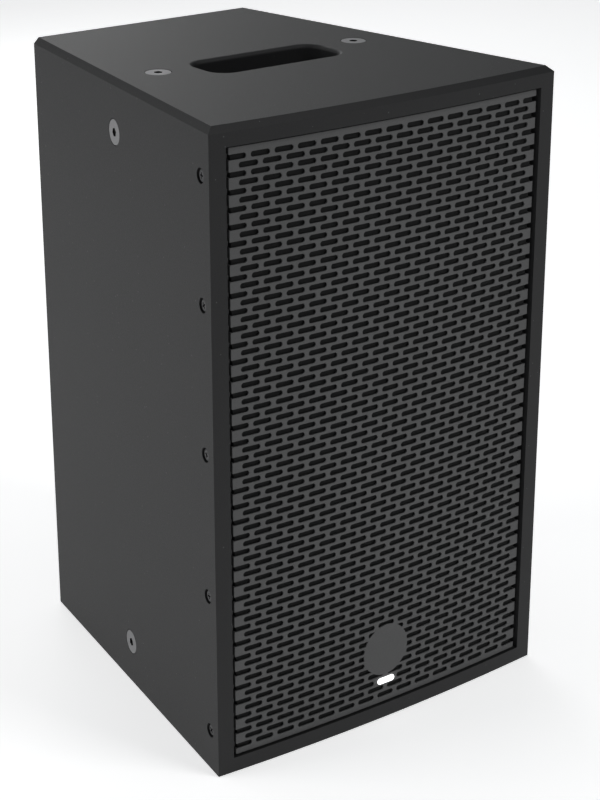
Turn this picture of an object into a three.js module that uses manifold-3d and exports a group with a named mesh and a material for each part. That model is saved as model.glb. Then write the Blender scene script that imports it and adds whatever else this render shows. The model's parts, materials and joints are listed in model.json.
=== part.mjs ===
// Powered two-way loudspeaker cabinet: tapered box, curved steel grille, 10-inch woofer, horn and amplifier.
// Millimetres, +Z up, front faces -Y. Origin: middle of the bounding box on the floor.
import * as THREE from "three";
import { mergeVertices } from "three/addons/utils/BufferGeometryUtils.js";
import Module from "manifold-3d";

const wasm = await Module();
wasm.setup();

// ---------------------------------------------------------------- driving dimensions
const CABINET_HEIGHT = 500;
const FRONT_WIDTH = 315.4;
const REAR_WIDTH = 208.3;
const CABINET_DEPTH = 320;
const FRONT_BOW = 6.2;
const SIDE_WALL = 13.5;
const TOP_WALL = 15;
const BOTTOM_WALL = 12;
const EDGE_CHAMFER_IN = 4.6;
const EDGE_CHAMFER_DOWN = 4.4;

const GRILLE_RECESS = 2;
const GRILLE_SIDE_GAP = 3.2;
const GRILLE_END_GAP = 1.2;
const GRILLE_THICKNESS = 1.5;
const GRILLE_FLANGE = 20;
const GRILLE_FLANGE_CLEARANCE = 0.5;
const FOAM_THICKNESS = 4;
const FOAM_SIDE_INSET = 0.8;
const FOAM_END_INSET = 2;

const BAFFLE_SETBACK = 25;
const BAFFLE_THICKNESS = 15;
const REAR_RECESS = 18;
const REAR_WALL = 12;

const GRILLE_SCREW_SETBACK = 12.4;
const GRILLE_SCREW_LOW = 33.2;
const GRILLE_SCREW_PITCH = 112.7;
const GRILLE_SCREW_TOP_DROP = 35.8;
const GRILLE_SCREWS = 5;
const GRILLE_SCREW_HEAD_R = 4.85;
const GRILLE_SCREW_HEAD = 2.6;
const GRILLE_SCREW_SHANK_R = 2.5;
const GRILLE_SCREW_RECESS_R = 5.6;
const GRILLE_SCREW_RECESS = 3.4;

const RIG_SCREW_HEAD_R = 9.7;
const RIG_SCREW_SHANK_R = 5;
const RIG_SCREW_LENGTH = 26;
const RIG_SETBACK = 159.6;
const RIG_TOP_SPREAD = 92;
const RIG_SIDE_FROM_TOP = 40;
const RIG_SIDE_FROM_BOTTOM = 36.5;
const BRACKET_THICKNESS = 6;
const BRACKET_WIDTH = 36;
const BRACKET_END_MARGIN = 12;

const HANDLE_LENGTH = 118;
const HANDLE_WIDTH = 45.5;
const HANDLE_CORNER_R = 14;
const HANDLE_SETBACK = 149.6;
const HANDLE_DEPTH = 46;
const HANDLE_UNDERCUT = 6;
const HANDLE_CUP_WALL = 3;
const HANDLE_FLANGE = 6;

const WOOFER_RISE = 27.5;
const WOOFER_FRAME_R = 130.5;
const WOOFER_FLANGE = 14.5;
const WOOFER_EDGE = 16.5;
const WOOFER_CONE_DEPTH = 32;
const WOOFER_NECK_R = 26;
const WOOFER_MAGNET_R = 70;
const WOOFER_FRAME_DEPTH = 66;
const DUST_CAP_R = 38;

const HORN_DROP = 9;
const HORN_WIDTH = 262;
const HORN_HEIGHT = 166;
const HORN_MOUTH_HEIGHT = 142;
const HORN_MOUTH_WIDTH = 232;
const HORN_LENGTH = 78;
const HORN_THROAT_R = 12.7;
const HORN_WALL = 3.5;
const HORN_CLEARANCE = 2;
const HORN_HOLE_R = 20;
const HORN_CORNER_R = 6;
const HORN_FLANGE = 3.7;
const HORN_NECK_R = 40;
const HORN_NECK = 5;
const DRIVER_R = 36;
const DRIVER_LENGTH = 40;
const DRIVER_BORE = 12;
const DRIVER_COVER_R = 32;
const DRIVER_COVER = 12;

const PORT_X = 98;
const PORT_RISE = 31.5;
const PORT_R = 22;
const PORT_WALL = 2.5;
const PORT_LENGTH = 80;
const PORT_FLANGE_R = 28;
const PORT_FLANGE = 3;

const POLE_SETBACK = 168;
const POLE_R = 17.9;
const POLE_WALL = 3;
const POLE_DEPTH = 80;
const POLE_FLANGE_R = 36;

const LIGHT_Z = 32.3;
const LIGHT_LENGTH = 15.6;
const LIGHT_HEIGHT = 4.2;
const LIGHT_LENS_MARGIN = 0.45;
const LIGHT_LENS = 0.8;

const AMP_WIDTH = 150;
const AMP_HEIGHT = 300;
const AMP_LOW_Z = 55;
const AMP_PLATE = 3;
const AMP_RIM = 8;
const HEAT_SINK_RISE = 75;
const HEAT_SINK_WIDTH = 132;
const HEAT_SINK_HEIGHT = 110;
const HEAT_SINK_BASE = 3;
const HEAT_SINK_FINS = 12;
const HEAT_SINK_FIN = 9;
const SOCKET_X = 42;
const SOCKET_DROP = 33;
const SOCKET_R = 9.75;
const SOCKET_FLANGE_W = 26;
const SOCKET_FLANGE_H = 31;
const CONTROL_DROP = 87;
const KNOB_R = 9;
const KNOB_LENGTH = 11;
const BUTTON_R = 4;
const INLET_X = -36;
const INLET_RISE = 37;
const INLET_W = 48;
const INLET_H = 28;
const ROCKER_X = 36;
const ROCKER_W = 21;
const ROCKER_H = 15;

const GAP = 0.3;
const CUT_PAST = 9;
const FINE = 24;
const ROUND = 16;
const SMALL = 8;

// ---------------------------------------------------------------- derived places
const FRONT_Y = -(CABINET_DEPTH - FRONT_BOW) / 2;
const REAR_Y = FRONT_Y + CABINET_DEPTH;
const TAPER = Math.atan2((FRONT_WIDTH - REAR_WIDTH) / 2, CABINET_DEPTH);
const WALL_X = SIDE_WALL / Math.cos(TAPER);
const TOP_INNER_Z = CABINET_HEIGHT - TOP_WALL;
const BAFFLE_Y = FRONT_Y + BAFFLE_SETBACK;
const REAR_PANEL_Y = REAR_Y - REAR_RECESS;
const GRILLE_HALF = FRONT_WIDTH / 2 - WALL_X - GRILLE_SIDE_GAP;
const GRILLE_LOW_Z = BOTTOM_WALL + GRILLE_END_GAP;
const GRILLE_HIGH_Z = TOP_INNER_Z - GRILLE_END_GAP;
const GRILLE_SCREW_HEIGHTS = [CABINET_HEIGHT - GRILLE_SCREW_TOP_DROP];
for (let i = GRILLE_SCREWS - 2; i >= 0; i -= 1) {
  GRILLE_SCREW_HEIGHTS.push(GRILLE_SCREW_LOW + i * GRILLE_SCREW_PITCH);
}
const WOOFER_Z = BOTTOM_WALL + WOOFER_RISE + WOOFER_FRAME_R;
const WOOFER_HOLE_R = WOOFER_FRAME_R - WOOFER_FLANGE;
const WOOFER_CONE_R = WOOFER_HOLE_R - WOOFER_EDGE;
const HORN_Z = TOP_INNER_Z - HORN_DROP - HORN_HEIGHT / 2;
const PORT_Z = BOTTOM_WALL + PORT_RISE;
const AMP_Z = AMP_LOW_Z + AMP_HEIGHT / 2;
const HEAT_SINK_Z = AMP_LOW_Z + HEAT_SINK_RISE + HEAT_SINK_HEIGHT / 2;
const SOCKET_Z = AMP_LOW_Z + AMP_HEIGHT - SOCKET_DROP;
const CONTROL_Z = AMP_LOW_Z + AMP_HEIGHT - CONTROL_DROP;
const INLET_Z = AMP_LOW_Z + INLET_RISE;
const HORN_STRETCH = HORN_MOUTH_WIDTH / HORN_MOUTH_HEIGHT;
const AMP_Y = REAR_PANEL_Y + GAP;
const PANEL_FACE_Y = AMP_Y + AMP_PLATE;

// Half of the cabinet's outer width at a distance behind the front corners.
function outerHalf(setback) {
  return FRONT_WIDTH / 2 - setback * Math.tan(TAPER);
}

// Half of the cabinet's inner width at a distance behind the front corners.
function innerHalf(setback) {
  return outerHalf(setback) - WALL_X;
}

// How far the bowed front stands ahead of the corners, at x.
function bowAt(x) {
  const half = FRONT_WIDTH / 2;
  return FRONT_BOW * (1 - (x * x) / (half * half));
}

// ---------------------------------------------------------------- solids
function solidOf(geometry) {
  const bare = geometry.clone();
  bare.deleteAttribute("normal");
  bare.deleteAttribute("uv");
  const merged = mergeVertices(bare, 1e-4);
  return new wasm.Manifold(
    new wasm.Mesh({
      numProp: 3,
      vertProperties: merged.attributes.position.array,
      triVerts: new Uint32Array(merged.index.array),
    }),
  );
}

function geometryOf(solid) {
  const mesh = solid.getMesh();
  const geometry = new THREE.BufferGeometry();
  geometry.setAttribute("position", new THREE.BufferAttribute(mesh.vertProperties, 3));
  geometry.setIndex(new THREE.BufferAttribute(mesh.triVerts, 1));
  geometry.computeVertexNormals();
  return geometry;
}

function box(width, depth, height, x, y, z) {
  return solidOf(new THREE.BoxGeometry(width, depth, height).translate(x, y, z));
}

// A plan outline (x, y) raised from one height to another.
function plate(points, low, high) {
  const shape = new THREE.Shape(points.map(([x, y]) => new THREE.Vector2(x, y)));
  const geometry = new THREE.ExtrudeGeometry(shape, {
    depth: high - low,
    bevelEnabled: false,
  });
  return solidOf(geometry.translate(0, 0, low));
}

// A shape drawn in (x, z), pushed back from front to back.
function slab(shape, front, back, curveSegments = 3) {
  const geometry = new THREE.ExtrudeGeometry(shape, {
    depth: back - front,
    bevelEnabled: false,
    curveSegments,
  });
  return solidOf(geometry.rotateX(Math.PI / 2).translate(0, back, 0));
}

function roundedRect(width, height, radius, x, z) {
  const shape = new THREE.Shape();
  const left = x - width / 2;
  const right = x + width / 2;
  const low = z - height / 2;
  const high = z + height / 2;
  const quarter = Math.PI / 2;
  shape.moveTo(left + radius, low);
  shape.lineTo(right - radius, low);
  shape.absarc(right - radius, low + radius, radius, -quarter, 0, false);
  shape.absarc(right - radius, high - radius, radius, 0, quarter, false);
  shape.absarc(left + radius, high - radius, radius, quarter, 2 * quarter, false);
  shape.absarc(left + radius, low + radius, radius, 2 * quarter, 3 * quarter, false);
  return shape;
}

// A closed profile of [radius, distance] turned about an axis, distance growing along +Z.
function turned(profile, segments) {
  const points = profile.map(([r, d]) => new THREE.Vector2(r, d));
  return new THREE.LatheGeometry(points, segments).rotateX(Math.PI / 2);
}

function turnedSolid(profile, segments, place) {
  return solidOf(turned(profile, segments).applyMatrix4(place));
}

// Axis placements: the profile's distance runs along the named direction from a point.
function along(direction, x, y, z) {
  const from = new THREE.Vector3(0, 0, 1);
  const turn = new THREE.Quaternion().setFromUnitVectors(from, direction.normalize());
  return new THREE.Matrix4().compose(
    new THREE.Vector3(x, y, z),
    turn,
    new THREE.Vector3(1, 1, 1),
  );
}

const BACKWARD = () => new THREE.Vector3(0, 1, 0);
const UPWARD = () => new THREE.Vector3(0, 0, 1);
const DOWNWARD = () => new THREE.Vector3(0, 0, -1);

// A ring profile between two radii and two distances.
function ring(inner, outer, start, end) {
  return [
    [inner, start],
    [inner, end],
    [outer, end],
    [outer, start],
    [inner, start],
  ].reverse();
}

// A solid disc profile from one distance to another.
function disc(radius, start, end) {
  return [
    [0, start],
    [radius, start],
    [radius, end],
    [0, end],
  ];
}

function cylinder(radius, start, end, direction, x, y, z, segments = ROUND) {
  return turnedSolid(disc(radius, start, end), segments, along(direction, x, y, z));
}

// ---------------------------------------------------------------- materials and the assembly
const group = new THREE.Group();

function finish(color, roughness, metalness) {
  return new THREE.MeshStandardMaterial({ color, roughness, metalness });
}

const PAINT = finish(0x3a3b3d, 0.62, 0);
const GRILLE_PAINT = finish(0x3c3c3d, 0.55, 0.1);
const FOAM = finish(0x161616, 0.95, 0);
const STEEL = finish(0x6f6f70, 0.45, 0.8);
const DARK_STEEL = finish(0x26262a, 0.5, 0.6);
const MOULDED = finish(0x1d1d1f, 0.6, 0);
const LIGHT = finish(0xf4f8ff, 0.3, 0);
const PAPER = finish(0x202022, 0.9, 0);
const RUBBER = finish(0x151515, 0.85, 0);
const FERRITE = finish(0x2b2b2e, 0.7, 0.2);
const PLYWOOD = finish(0x2a2826, 0.8, 0);
const ALUMINIUM = finish(0x2c2d30, 0.5, 0.5);
const BOARD = finish(0x1f5a36, 0.5, 0);
const COPPER = finish(0xa0643a, 0.4, 0.9);

function add(name, solid, material) {
  const mesh = new THREE.Mesh(geometryOf(solid), material);
  mesh.name = name;
  group.add(mesh);
}

// ---------------------------------------------------------------- cabinet shell
const BOW_STEPS = 8;

// The cabinet's plan outline: bowed front, straight tapered sides and a rear edge at a given setback.
function planOutline(rearSetback) {
  const points = [];
  for (let i = 0; i <= BOW_STEPS; i += 1) {
    const x = -FRONT_WIDTH / 2 + (FRONT_WIDTH * i) / BOW_STEPS;
    points.push([x, FRONT_Y - bowAt(x)]);
  }
  points.push([outerHalf(rearSetback), FRONT_Y + rearSetback]);
  points.push([-outerHalf(rearSetback), FRONT_Y + rearSetback]);
  return points;
}

function grilleScrewPlace(side, z) {
  const outward = new THREE.Vector3(-side * Math.cos(TAPER), -Math.sin(TAPER), 0);
  const x = side * outerHalf(GRILLE_SCREW_SETBACK);
  return along(outward, x, FRONT_Y + GRILLE_SCREW_SETBACK, z);
}

const GRILLE_SCREW_PAST = 6;
const GRILLE_SCREW_LENGTH = SIDE_WALL + GRILLE_SIDE_GAP + GRILLE_SCREW_PAST;

function grilleScrewProfile(spare) {
  const headTop = GRILLE_SCREW_RECESS - GRILLE_SCREW_HEAD;
  return [
    [0, headTop],
    [GRILLE_SCREW_HEAD_R, headTop],
    [GRILLE_SCREW_HEAD_R, GRILLE_SCREW_RECESS - GAP],
    [GRILLE_SCREW_SHANK_R + spare, GRILLE_SCREW_RECESS - GAP],
    [GRILLE_SCREW_SHANK_R + spare, GRILLE_SCREW_LENGTH + spare],
    [0, GRILLE_SCREW_LENGTH + spare],
  ];
}

function grilleScrewHole(side, z) {
  const place = grilleScrewPlace(side, z);
  const recess = disc(GRILLE_SCREW_RECESS_R, -1, GRILLE_SCREW_RECESS);
  const shank = disc(GRILLE_SCREW_SHANK_R + GAP, 0, GRILLE_SCREW_LENGTH + 2);
  return turnedSolid(recess, SMALL, place).add(turnedSolid(shank, SMALL, place));
}

// A countersunk screw: flush head, cone and shank. spare widens it into its own hole.
function rigScrewProfile(spare, length) {
  const rim = 0.8;
  const cone = RIG_SCREW_HEAD_R - RIG_SCREW_SHANK_R;
  return [
    [0, spare ? -1 : 0],
    [RIG_SCREW_HEAD_R + spare, spare ? -1 : 0],
    [RIG_SCREW_HEAD_R + spare, rim + spare],
    [RIG_SCREW_SHANK_R + spare, rim + cone + spare],
    [RIG_SCREW_SHANK_R + spare, length],
    [0, length],
  ];
}

const RIG_Y = FRONT_Y + RIG_SETBACK;

function rigTopPlace(side) {
  return along(DOWNWARD(), side * RIG_TOP_SPREAD, RIG_Y, CABINET_HEIGHT);
}

function rigSidePlace(side, z) {
  const inward = new THREE.Vector3(-side * Math.cos(TAPER), -Math.sin(TAPER), 0);
  return along(inward, side * outerHalf(RIG_SETBACK), RIG_Y, z);
}

const RIG_SIDE_HEIGHTS = [CABINET_HEIGHT - RIG_SIDE_FROM_TOP, RIG_SIDE_FROM_BOTTOM];

function rigHole(place) {
  return turnedSolid(rigScrewProfile(GAP, RIG_SCREW_LENGTH + 2), ROUND, place);
}

function topPanel() {
  const beyond = 20;
  const outline = planOutline(CABINET_DEPTH + beyond);
  const shape = new THREE.Shape(outline.map(([x, y]) => new THREE.Vector2(x, y)));
  const geometry = new THREE.ExtrudeGeometry(shape, {
    depth: TOP_WALL,
    bevelThickness: EDGE_CHAMFER_DOWN,
    bevelSize: EDGE_CHAMFER_IN,
    bevelOffset: -EDGE_CHAMFER_IN,
    bevelSegments: 1,
  });
  const depth = CABINET_DEPTH + 2 * FRONT_BOW;
  const keep = box(
    FRONT_WIDTH + beyond,
    depth,
    TOP_WALL,
    0,
    REAR_Y - depth / 2,
    CABINET_HEIGHT - TOP_WALL / 2,
  );
  let panel = solidOf(geometry.translate(0, 0, TOP_INNER_Z - EDGE_CHAMFER_DOWN)).intersect(keep);
  const opening = roundedRect(HANDLE_LENGTH, HANDLE_WIDTH, HANDLE_CORNER_R, 0, 0);
  const cutter = new THREE.ExtrudeGeometry(opening, {
    depth: 2 * TOP_WALL,
    bevelEnabled: false,
    curveSegments: 4,
  });
  cutter.translate(0, FRONT_Y + HANDLE_SETBACK, TOP_INNER_Z - TOP_WALL / 2);
  panel = panel.subtract(solidOf(cutter));
  for (const side of [-1, 1]) panel = panel.subtract(rigHole(rigTopPlace(side)));
  return panel;
}

function bottomPanel() {
  const panel = plate(planOutline(CABINET_DEPTH), 0, BOTTOM_WALL);
  const y = FRONT_Y + POLE_SETBACK;
  return panel
    .subtract(cylinder(POLE_R + POLE_WALL + GAP, -1, BOTTOM_WALL + 1, UPWARD(), 0, y, 0, FINE));
}

function sidePanel(side) {
  const points = [
    [side * outerHalf(0), FRONT_Y],
    [side * outerHalf(CABINET_DEPTH), REAR_Y],
    [side * innerHalf(CABINET_DEPTH), REAR_Y],
    [side * innerHalf(0), FRONT_Y],
  ];
  let panel = plate(side > 0 ? points : points.reverse(), BOTTOM_WALL, TOP_INNER_Z);
  for (const z of GRILLE_SCREW_HEIGHTS) panel = panel.subtract(grilleScrewHole(side, z));
  for (const z of RIG_SIDE_HEIGHTS) panel = panel.subtract(rigHole(rigSidePlace(side, z)));
  return panel;
}

// A wall across the cabinet, between the side panels, from one setback to another.
function crossWall(front, back) {
  const points = [
    [-innerHalf(front) + GAP, FRONT_Y + front],
    [innerHalf(front) - GAP, FRONT_Y + front],
    [innerHalf(back) - GAP, FRONT_Y + back],
    [-innerHalf(back) + GAP, FRONT_Y + back],
  ];
  return plate(points, BOTTOM_WALL, TOP_INNER_Z);
}

function rearPanel() {
  const back = CABINET_DEPTH - REAR_RECESS;
  const wall = crossWall(back - REAR_WALL, back);
  const width = AMP_WIDTH - 2 * AMP_RIM;
  const height = AMP_HEIGHT - 2 * AMP_RIM;
  return wall.subtract(box(width, 3 * REAR_WALL, height, 0, REAR_PANEL_Y, AMP_Z));
}

function frontBaffle() {
  const end = BAFFLE_THICKNESS + 1;
  const bored = (radius, x, z, segments) =>
    cylinder(radius, -1, end, BACKWARD(), x, BAFFLE_Y, z, segments);
  let wall = crossWall(BAFFLE_SETBACK, BAFFLE_SETBACK + BAFFLE_THICKNESS);
  wall = wall.subtract(bored(WOOFER_HOLE_R, 0, WOOFER_Z, FINE));
  const hornHigh = HORN_MOUTH_HEIGHT + 2 * HORN_WALL;
  const high = hornHigh + 2 * HORN_CLEARANCE;
  const wide = hornHigh * HORN_STRETCH + 2 * HORN_CLEARANCE;
  const hornHole = slab(roundedRect(wide, high, HORN_HOLE_R, 0, 0), BAFFLE_Y - 1, BAFFLE_Y + end);
  wall = wall.subtract(hornHole.translate([0, 0, HORN_Z]));
  for (const side of [-1, 1]) {
    wall = wall.subtract(bored(PORT_R + PORT_WALL + GAP, side * PORT_X, PORT_Z, ROUND));
  }
  return wall;
}

// ---------------------------------------------------------------- grille, foam and light
const GRILLE_STEPS = 8;

// A bowed strip in plan, between two distances behind the cabinet's bowed front line.
function bowedStrip(half, front, back, steps) {
  const points = [];
  for (let i = 0; i <= steps; i += 1) {
    const x = -half + (2 * half * i) / steps;
    points.push([x, FRONT_Y + front - bowAt(x)]);
  }
  for (let i = steps; i >= 0; i -= 1) {
    const x = -half + (2 * half * i) / steps;
    points.push([x, FRONT_Y + back - bowAt(x)]);
  }
  return points;
}

function lightShape(spare) {
  const height = LIGHT_HEIGHT + 2 * spare;
  return roundedRect(LIGHT_LENGTH + 2 * spare, height, height / 2 - 0.01, 0, 0);
}

function lightCut(spare) {
  return slab(lightShape(spare), FRONT_Y - 2 * FRONT_BOW, BAFFLE_Y).translate([0, 0, LIGHT_Z]);
}

function grille() {
  const back = GRILLE_RECESS + GRILLE_THICKNESS;
  const sheet = bowedStrip(GRILLE_HALF, GRILLE_RECESS, back, GRILLE_STEPS);
  let panel = plate(sheet, GRILLE_LOW_Z, GRILLE_HIGH_Z);
  for (const side of [-1, 1]) {
    const rear = innerHalf(GRILLE_FLANGE) - GRILLE_FLANGE_CLEARANCE;
    const start = FRONT_Y + GRILLE_RECESS - bowAt(GRILLE_HALF);
    const outline = [
      [side * (GRILLE_HALF - GRILLE_THICKNESS), start],
      [side * GRILLE_HALF, start],
      [side * rear, FRONT_Y + GRILLE_FLANGE],
      [side * (rear - GRILLE_THICKNESS), FRONT_Y + GRILLE_FLANGE],
    ];
    const flange = plate(side > 0 ? outline : outline.reverse(), GRILLE_LOW_Z, GRILLE_HIGH_Z);
    panel = panel.add(flange);
    for (const z of GRILLE_SCREW_HEIGHTS) panel = panel.subtract(grilleScrewHole(side, z));
  }
  return panel.subtract(lightCut(0));
}

function grilleFoam() {
  const front = GRILLE_RECESS + GRILLE_THICKNESS + GAP;
  const half = GRILLE_HALF - GRILLE_THICKNESS - FOAM_SIDE_INSET;
  const strip = bowedStrip(half, front, front + FOAM_THICKNESS, GRILLE_STEPS);
  let foam = plate(strip, GRILLE_LOW_Z + FOAM_END_INSET, GRILLE_HIGH_Z - FOAM_END_INSET);
  for (const side of [-1, 1]) {
    for (const z of GRILLE_SCREW_HEIGHTS) foam = foam.subtract(grilleScrewHole(side, z));
  }
  return foam.subtract(lightCut(GAP));
}

const BOARD_THICKNESS = 1.6;
const LIGHT_BOARD_WIDTH = 26;
const LIGHT_BOARD_HEIGHT = 10;

function lightPipe() {
  const sheet = FRONT_Y - FRONT_BOW + GRILLE_RECESS;
  const lens = slab(lightShape(LIGHT_LENS_MARGIN), sheet - GAP - LIGHT_LENS, sheet - GAP);
  const stem = slab(lightShape(-GAP), sheet - 2 * GAP, BAFFLE_Y - BOARD_THICKNESS - 2 * GAP);
  return lens.add(stem).translate([0, 0, LIGHT_Z]);
}

function lightBoard() {
  const y = BAFFLE_Y - GAP - BOARD_THICKNESS / 2;
  return box(LIGHT_BOARD_WIDTH, BOARD_THICKNESS, LIGHT_BOARD_HEIGHT, 0, y, LIGHT_Z);
}

// ---------------------------------------------------------------- fasteners and rigging
function addGrilleScrews() {
  for (const [word, side] of [["left", -1], ["right", 1]]) {
    GRILLE_SCREW_HEIGHTS.forEach((z, i) => {
      const solid = turnedSolid(grilleScrewProfile(0), SMALL, grilleScrewPlace(side, z));
      add(`grille_screw_${word}_${i + 1}`, solid, STEEL);
    });
  }
}

// A steel angle in a corner of the cabinet: one leg along the top or bottom, one down the tapered side.
function rigBracket(side, top) {
  const inward = top ? -1 : 1;
  const face = top ? TOP_INNER_Z : BOTTOM_WALL;
  const reach = innerHalf(RIG_SETBACK) - RIG_TOP_SPREAD + BRACKET_END_MARGIN;
  const screwZ = top ? RIG_SIDE_HEIGHTS[0] : RIG_SIDE_HEIGHTS[1];
  const drop = Math.abs(screwZ - face) + BRACKET_END_MARGIN;
  const flat = new THREE.BoxGeometry(reach, BRACKET_WIDTH, BRACKET_THICKNESS);
  flat.translate(-reach / 2 - GAP, 0, inward * (GAP + BRACKET_THICKNESS / 2));
  const leg = new THREE.BoxGeometry(BRACKET_THICKNESS, BRACKET_WIDTH, drop);
  leg.translate(-BRACKET_THICKNESS / 2 - GAP, 0, inward * (GAP + drop / 2));
  let angle = solidOf(flat).add(solidOf(leg));
  angle = angle.rotate([0, 0, (TAPER * 180) / Math.PI]);
  if (side < 0) angle = angle.mirror([1, 0, 0]);
  angle = angle.translate([side * innerHalf(RIG_SETBACK), RIG_Y, face]);
  angle = angle.subtract(rigHole(rigSidePlace(side, screwZ)));
  return top ? angle.subtract(rigHole(rigTopPlace(side))) : angle;
}

function addRigging() {
  for (const [word, side] of [["left", -1], ["right", 1]]) {
    const screw = (place) => turnedSolid(rigScrewProfile(0, RIG_SCREW_LENGTH), ROUND, place);
    add(`rigging_screw_top_${word}`, screw(rigTopPlace(side)), STEEL);
    add(`rigging_screw_side_upper_${word}`, screw(rigSidePlace(side, RIG_SIDE_HEIGHTS[0])), STEEL);
    add(`rigging_screw_side_lower_${word}`, screw(rigSidePlace(side, RIG_SIDE_HEIGHTS[1])), STEEL);
    add(`rigging_bracket_top_${word}`, rigBracket(side, true), DARK_STEEL);
    add(`rigging_bracket_bottom_${word}`, rigBracket(side, false), DARK_STEEL);
  }
}

// ---------------------------------------------------------------- handle pocket and pole socket
function handleCup() {
  const y = FRONT_Y + HANDLE_SETBACK;
  const inner = HANDLE_UNDERCUT;
  const wide = HANDLE_LENGTH + 2 * inner;
  const deep = HANDLE_WIDTH + 2 * inner;
  const top = TOP_INNER_Z - GAP;
  const block = (spare, low, high) => {
    const shape = roundedRect(wide + 2 * spare, deep + 2 * spare, HANDLE_CORNER_R + inner + spare, 0, 0);
    const geometry = new THREE.ExtrudeGeometry(shape, {
      depth: high - low,
      bevelEnabled: false,
      curveSegments: 3,
    });
    return solidOf(geometry.translate(0, y, low));
  };
  const flange = block(HANDLE_CUP_WALL + HANDLE_FLANGE, top - HANDLE_CUP_WALL, top);
  const body = block(HANDLE_CUP_WALL, top - HANDLE_DEPTH, top);
  const hollow = block(0, top - HANDLE_DEPTH + HANDLE_CUP_WALL, top + 1);
  return flange.add(body).subtract(hollow);
}

function poleSocket() {
  const outer = POLE_R + POLE_WALL;
  const lip = BOTTOM_WALL + GAP;
  const profile = [
    [0, POLE_DEPTH],
    [POLE_R, POLE_DEPTH],
    [POLE_R, 0],
    [outer, 0],
    [outer, lip],
    [POLE_FLANGE_R, lip],
    [POLE_FLANGE_R, lip + POLE_WALL],
    [outer, lip + POLE_WALL],
    [outer, POLE_DEPTH + POLE_WALL],
    [0, POLE_DEPTH + POLE_WALL],
  ];
  return turnedSolid(profile, FINE, along(UPWARD(), 0, FRONT_Y + POLE_SETBACK, 0));
}

// ---------------------------------------------------------------- woofer
const wooferPlace = () => along(BACKWARD(), 0, BAFFLE_Y, WOOFER_Z);
const FRAME_FRONT = -5;
const FRAME_WALL = 3;
const FRAME_CLEARANCE = 0.5;
const FRAME_THROAT = 8;
const FRAME_REAR_R = 74;
const FRAME_FLOOR_R = 40;
const LEDGE_R = 60;
const LEDGE_OUTER_R = 69;
const LEDGE_DEPTH = WOOFER_FRAME_DEPTH - 7.4;
const FRAME_WINDOWS = 6;
const WINDOW_REACH = 60;
const WINDOW_WIDTH = 34;
const WINDOW_HEIGHT = 64;
const CONE_FRONT = -4;
const CONE_THICKNESS = 1.2;
const GASKET_INNER_R = WOOFER_HOLE_R + 3.3;
const GASKET_THICKNESS = 2.7;
const NECK_DEPTH = CONE_FRONT + WOOFER_CONE_DEPTH;

function turnedPart(profile, segments = FINE) {
  return turnedSolid(profile, segments, wooferPlace());
}

function wooferBasket() {
  const throat = WOOFER_HOLE_R - FRAME_CLEARANCE;
  const inner = throat - FRAME_WALL;
  const floor = WOOFER_FRAME_DEPTH - FRAME_WALL;
  const profile = [
    [inner, FRAME_FRONT],
    [WOOFER_FRAME_R, FRAME_FRONT],
    [WOOFER_FRAME_R, -GAP],
    [throat, -GAP],
    [throat, FRAME_THROAT],
    [FRAME_REAR_R, LEDGE_DEPTH],
    [FRAME_REAR_R, WOOFER_FRAME_DEPTH],
    [FRAME_FLOOR_R, WOOFER_FRAME_DEPTH],
    [FRAME_FLOOR_R, floor],
    [LEDGE_R, floor],
    [LEDGE_R, LEDGE_DEPTH],
    [LEDGE_OUTER_R, LEDGE_DEPTH],
    [inner, FRAME_THROAT - 1],
    [inner, FRAME_FRONT],
  ];
  let basket = turnedPart(profile);
  for (let i = 0; i < FRAME_WINDOWS; i += 1) {
    const angle = (2 * Math.PI * (i + 0.5)) / FRAME_WINDOWS;
    const window = new THREE.BoxGeometry(WINDOW_REACH, WINDOW_WIDTH, WINDOW_HEIGHT);
    window.translate(WOOFER_HOLE_R - WINDOW_REACH / 4, 0, WINDOW_HEIGHT / 2 + 2);
    window.rotateZ(angle).applyMatrix4(wooferPlace());
    basket = basket.subtract(solidOf(window));
  }
  return basket;
}

// The half-roll edge between the cone and the frame.
function wooferSurround() {
  const thickness = CONE_THICKNESS;
  const lipOuter = GASKET_INNER_R - 2 * GAP;
  const rollOuter = WOOFER_HOLE_R - 4;
  const rollInner = WOOFER_CONE_R + 0.5;
  const middle = (rollOuter + rollInner) / 2;
  const radius = (rollOuter - rollInner) / 2;
  const base = FRAME_FRONT - GAP;
  const steps = 4;
  const upper = [];
  const lower = [];
  for (let i = 0; i <= steps; i += 1) {
    const turn = (Math.PI * i) / steps;
    const r = Math.cos(turn);
    const d = Math.sin(turn);
    upper.push([middle + (radius + thickness) * r, base - thickness * 0.01 - (radius + thickness) * d]);
    lower.push([middle + radius * r, base - radius * d]);
  }
  lower.reverse();
  const front = [[lipOuter, base], [lipOuter, base - thickness], [upper[0][0] + 0.01, base - thickness]];
  const profile = [...lower, ...front, ...upper.slice(1)];
  profile.push([...profile[0]]);
  return turnedPart(profile.reverse());
}

function wooferGasket() {
  const back = FRAME_FRONT - GAP;
  const outer = WOOFER_FRAME_R - FRAME_CLEARANCE;
  return turnedPart(ring(GASKET_INNER_R, outer, back - GASKET_THICKNESS, back));
}

function wooferCone() {
  return turnedPart([
    [WOOFER_NECK_R, NECK_DEPTH],
    [WOOFER_CONE_R, CONE_FRONT],
    [WOOFER_CONE_R, CONE_FRONT + CONE_THICKNESS],
    [WOOFER_NECK_R, NECK_DEPTH + CONE_THICKNESS],
    [WOOFER_NECK_R, NECK_DEPTH],
  ]);
}

// Depth of the cone's front face at a radius.
function coneDepth(radius) {
  const share = (WOOFER_CONE_R - radius) / (WOOFER_CONE_R - WOOFER_NECK_R);
  return CONE_FRONT + WOOFER_CONE_DEPTH * share;
}

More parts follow.
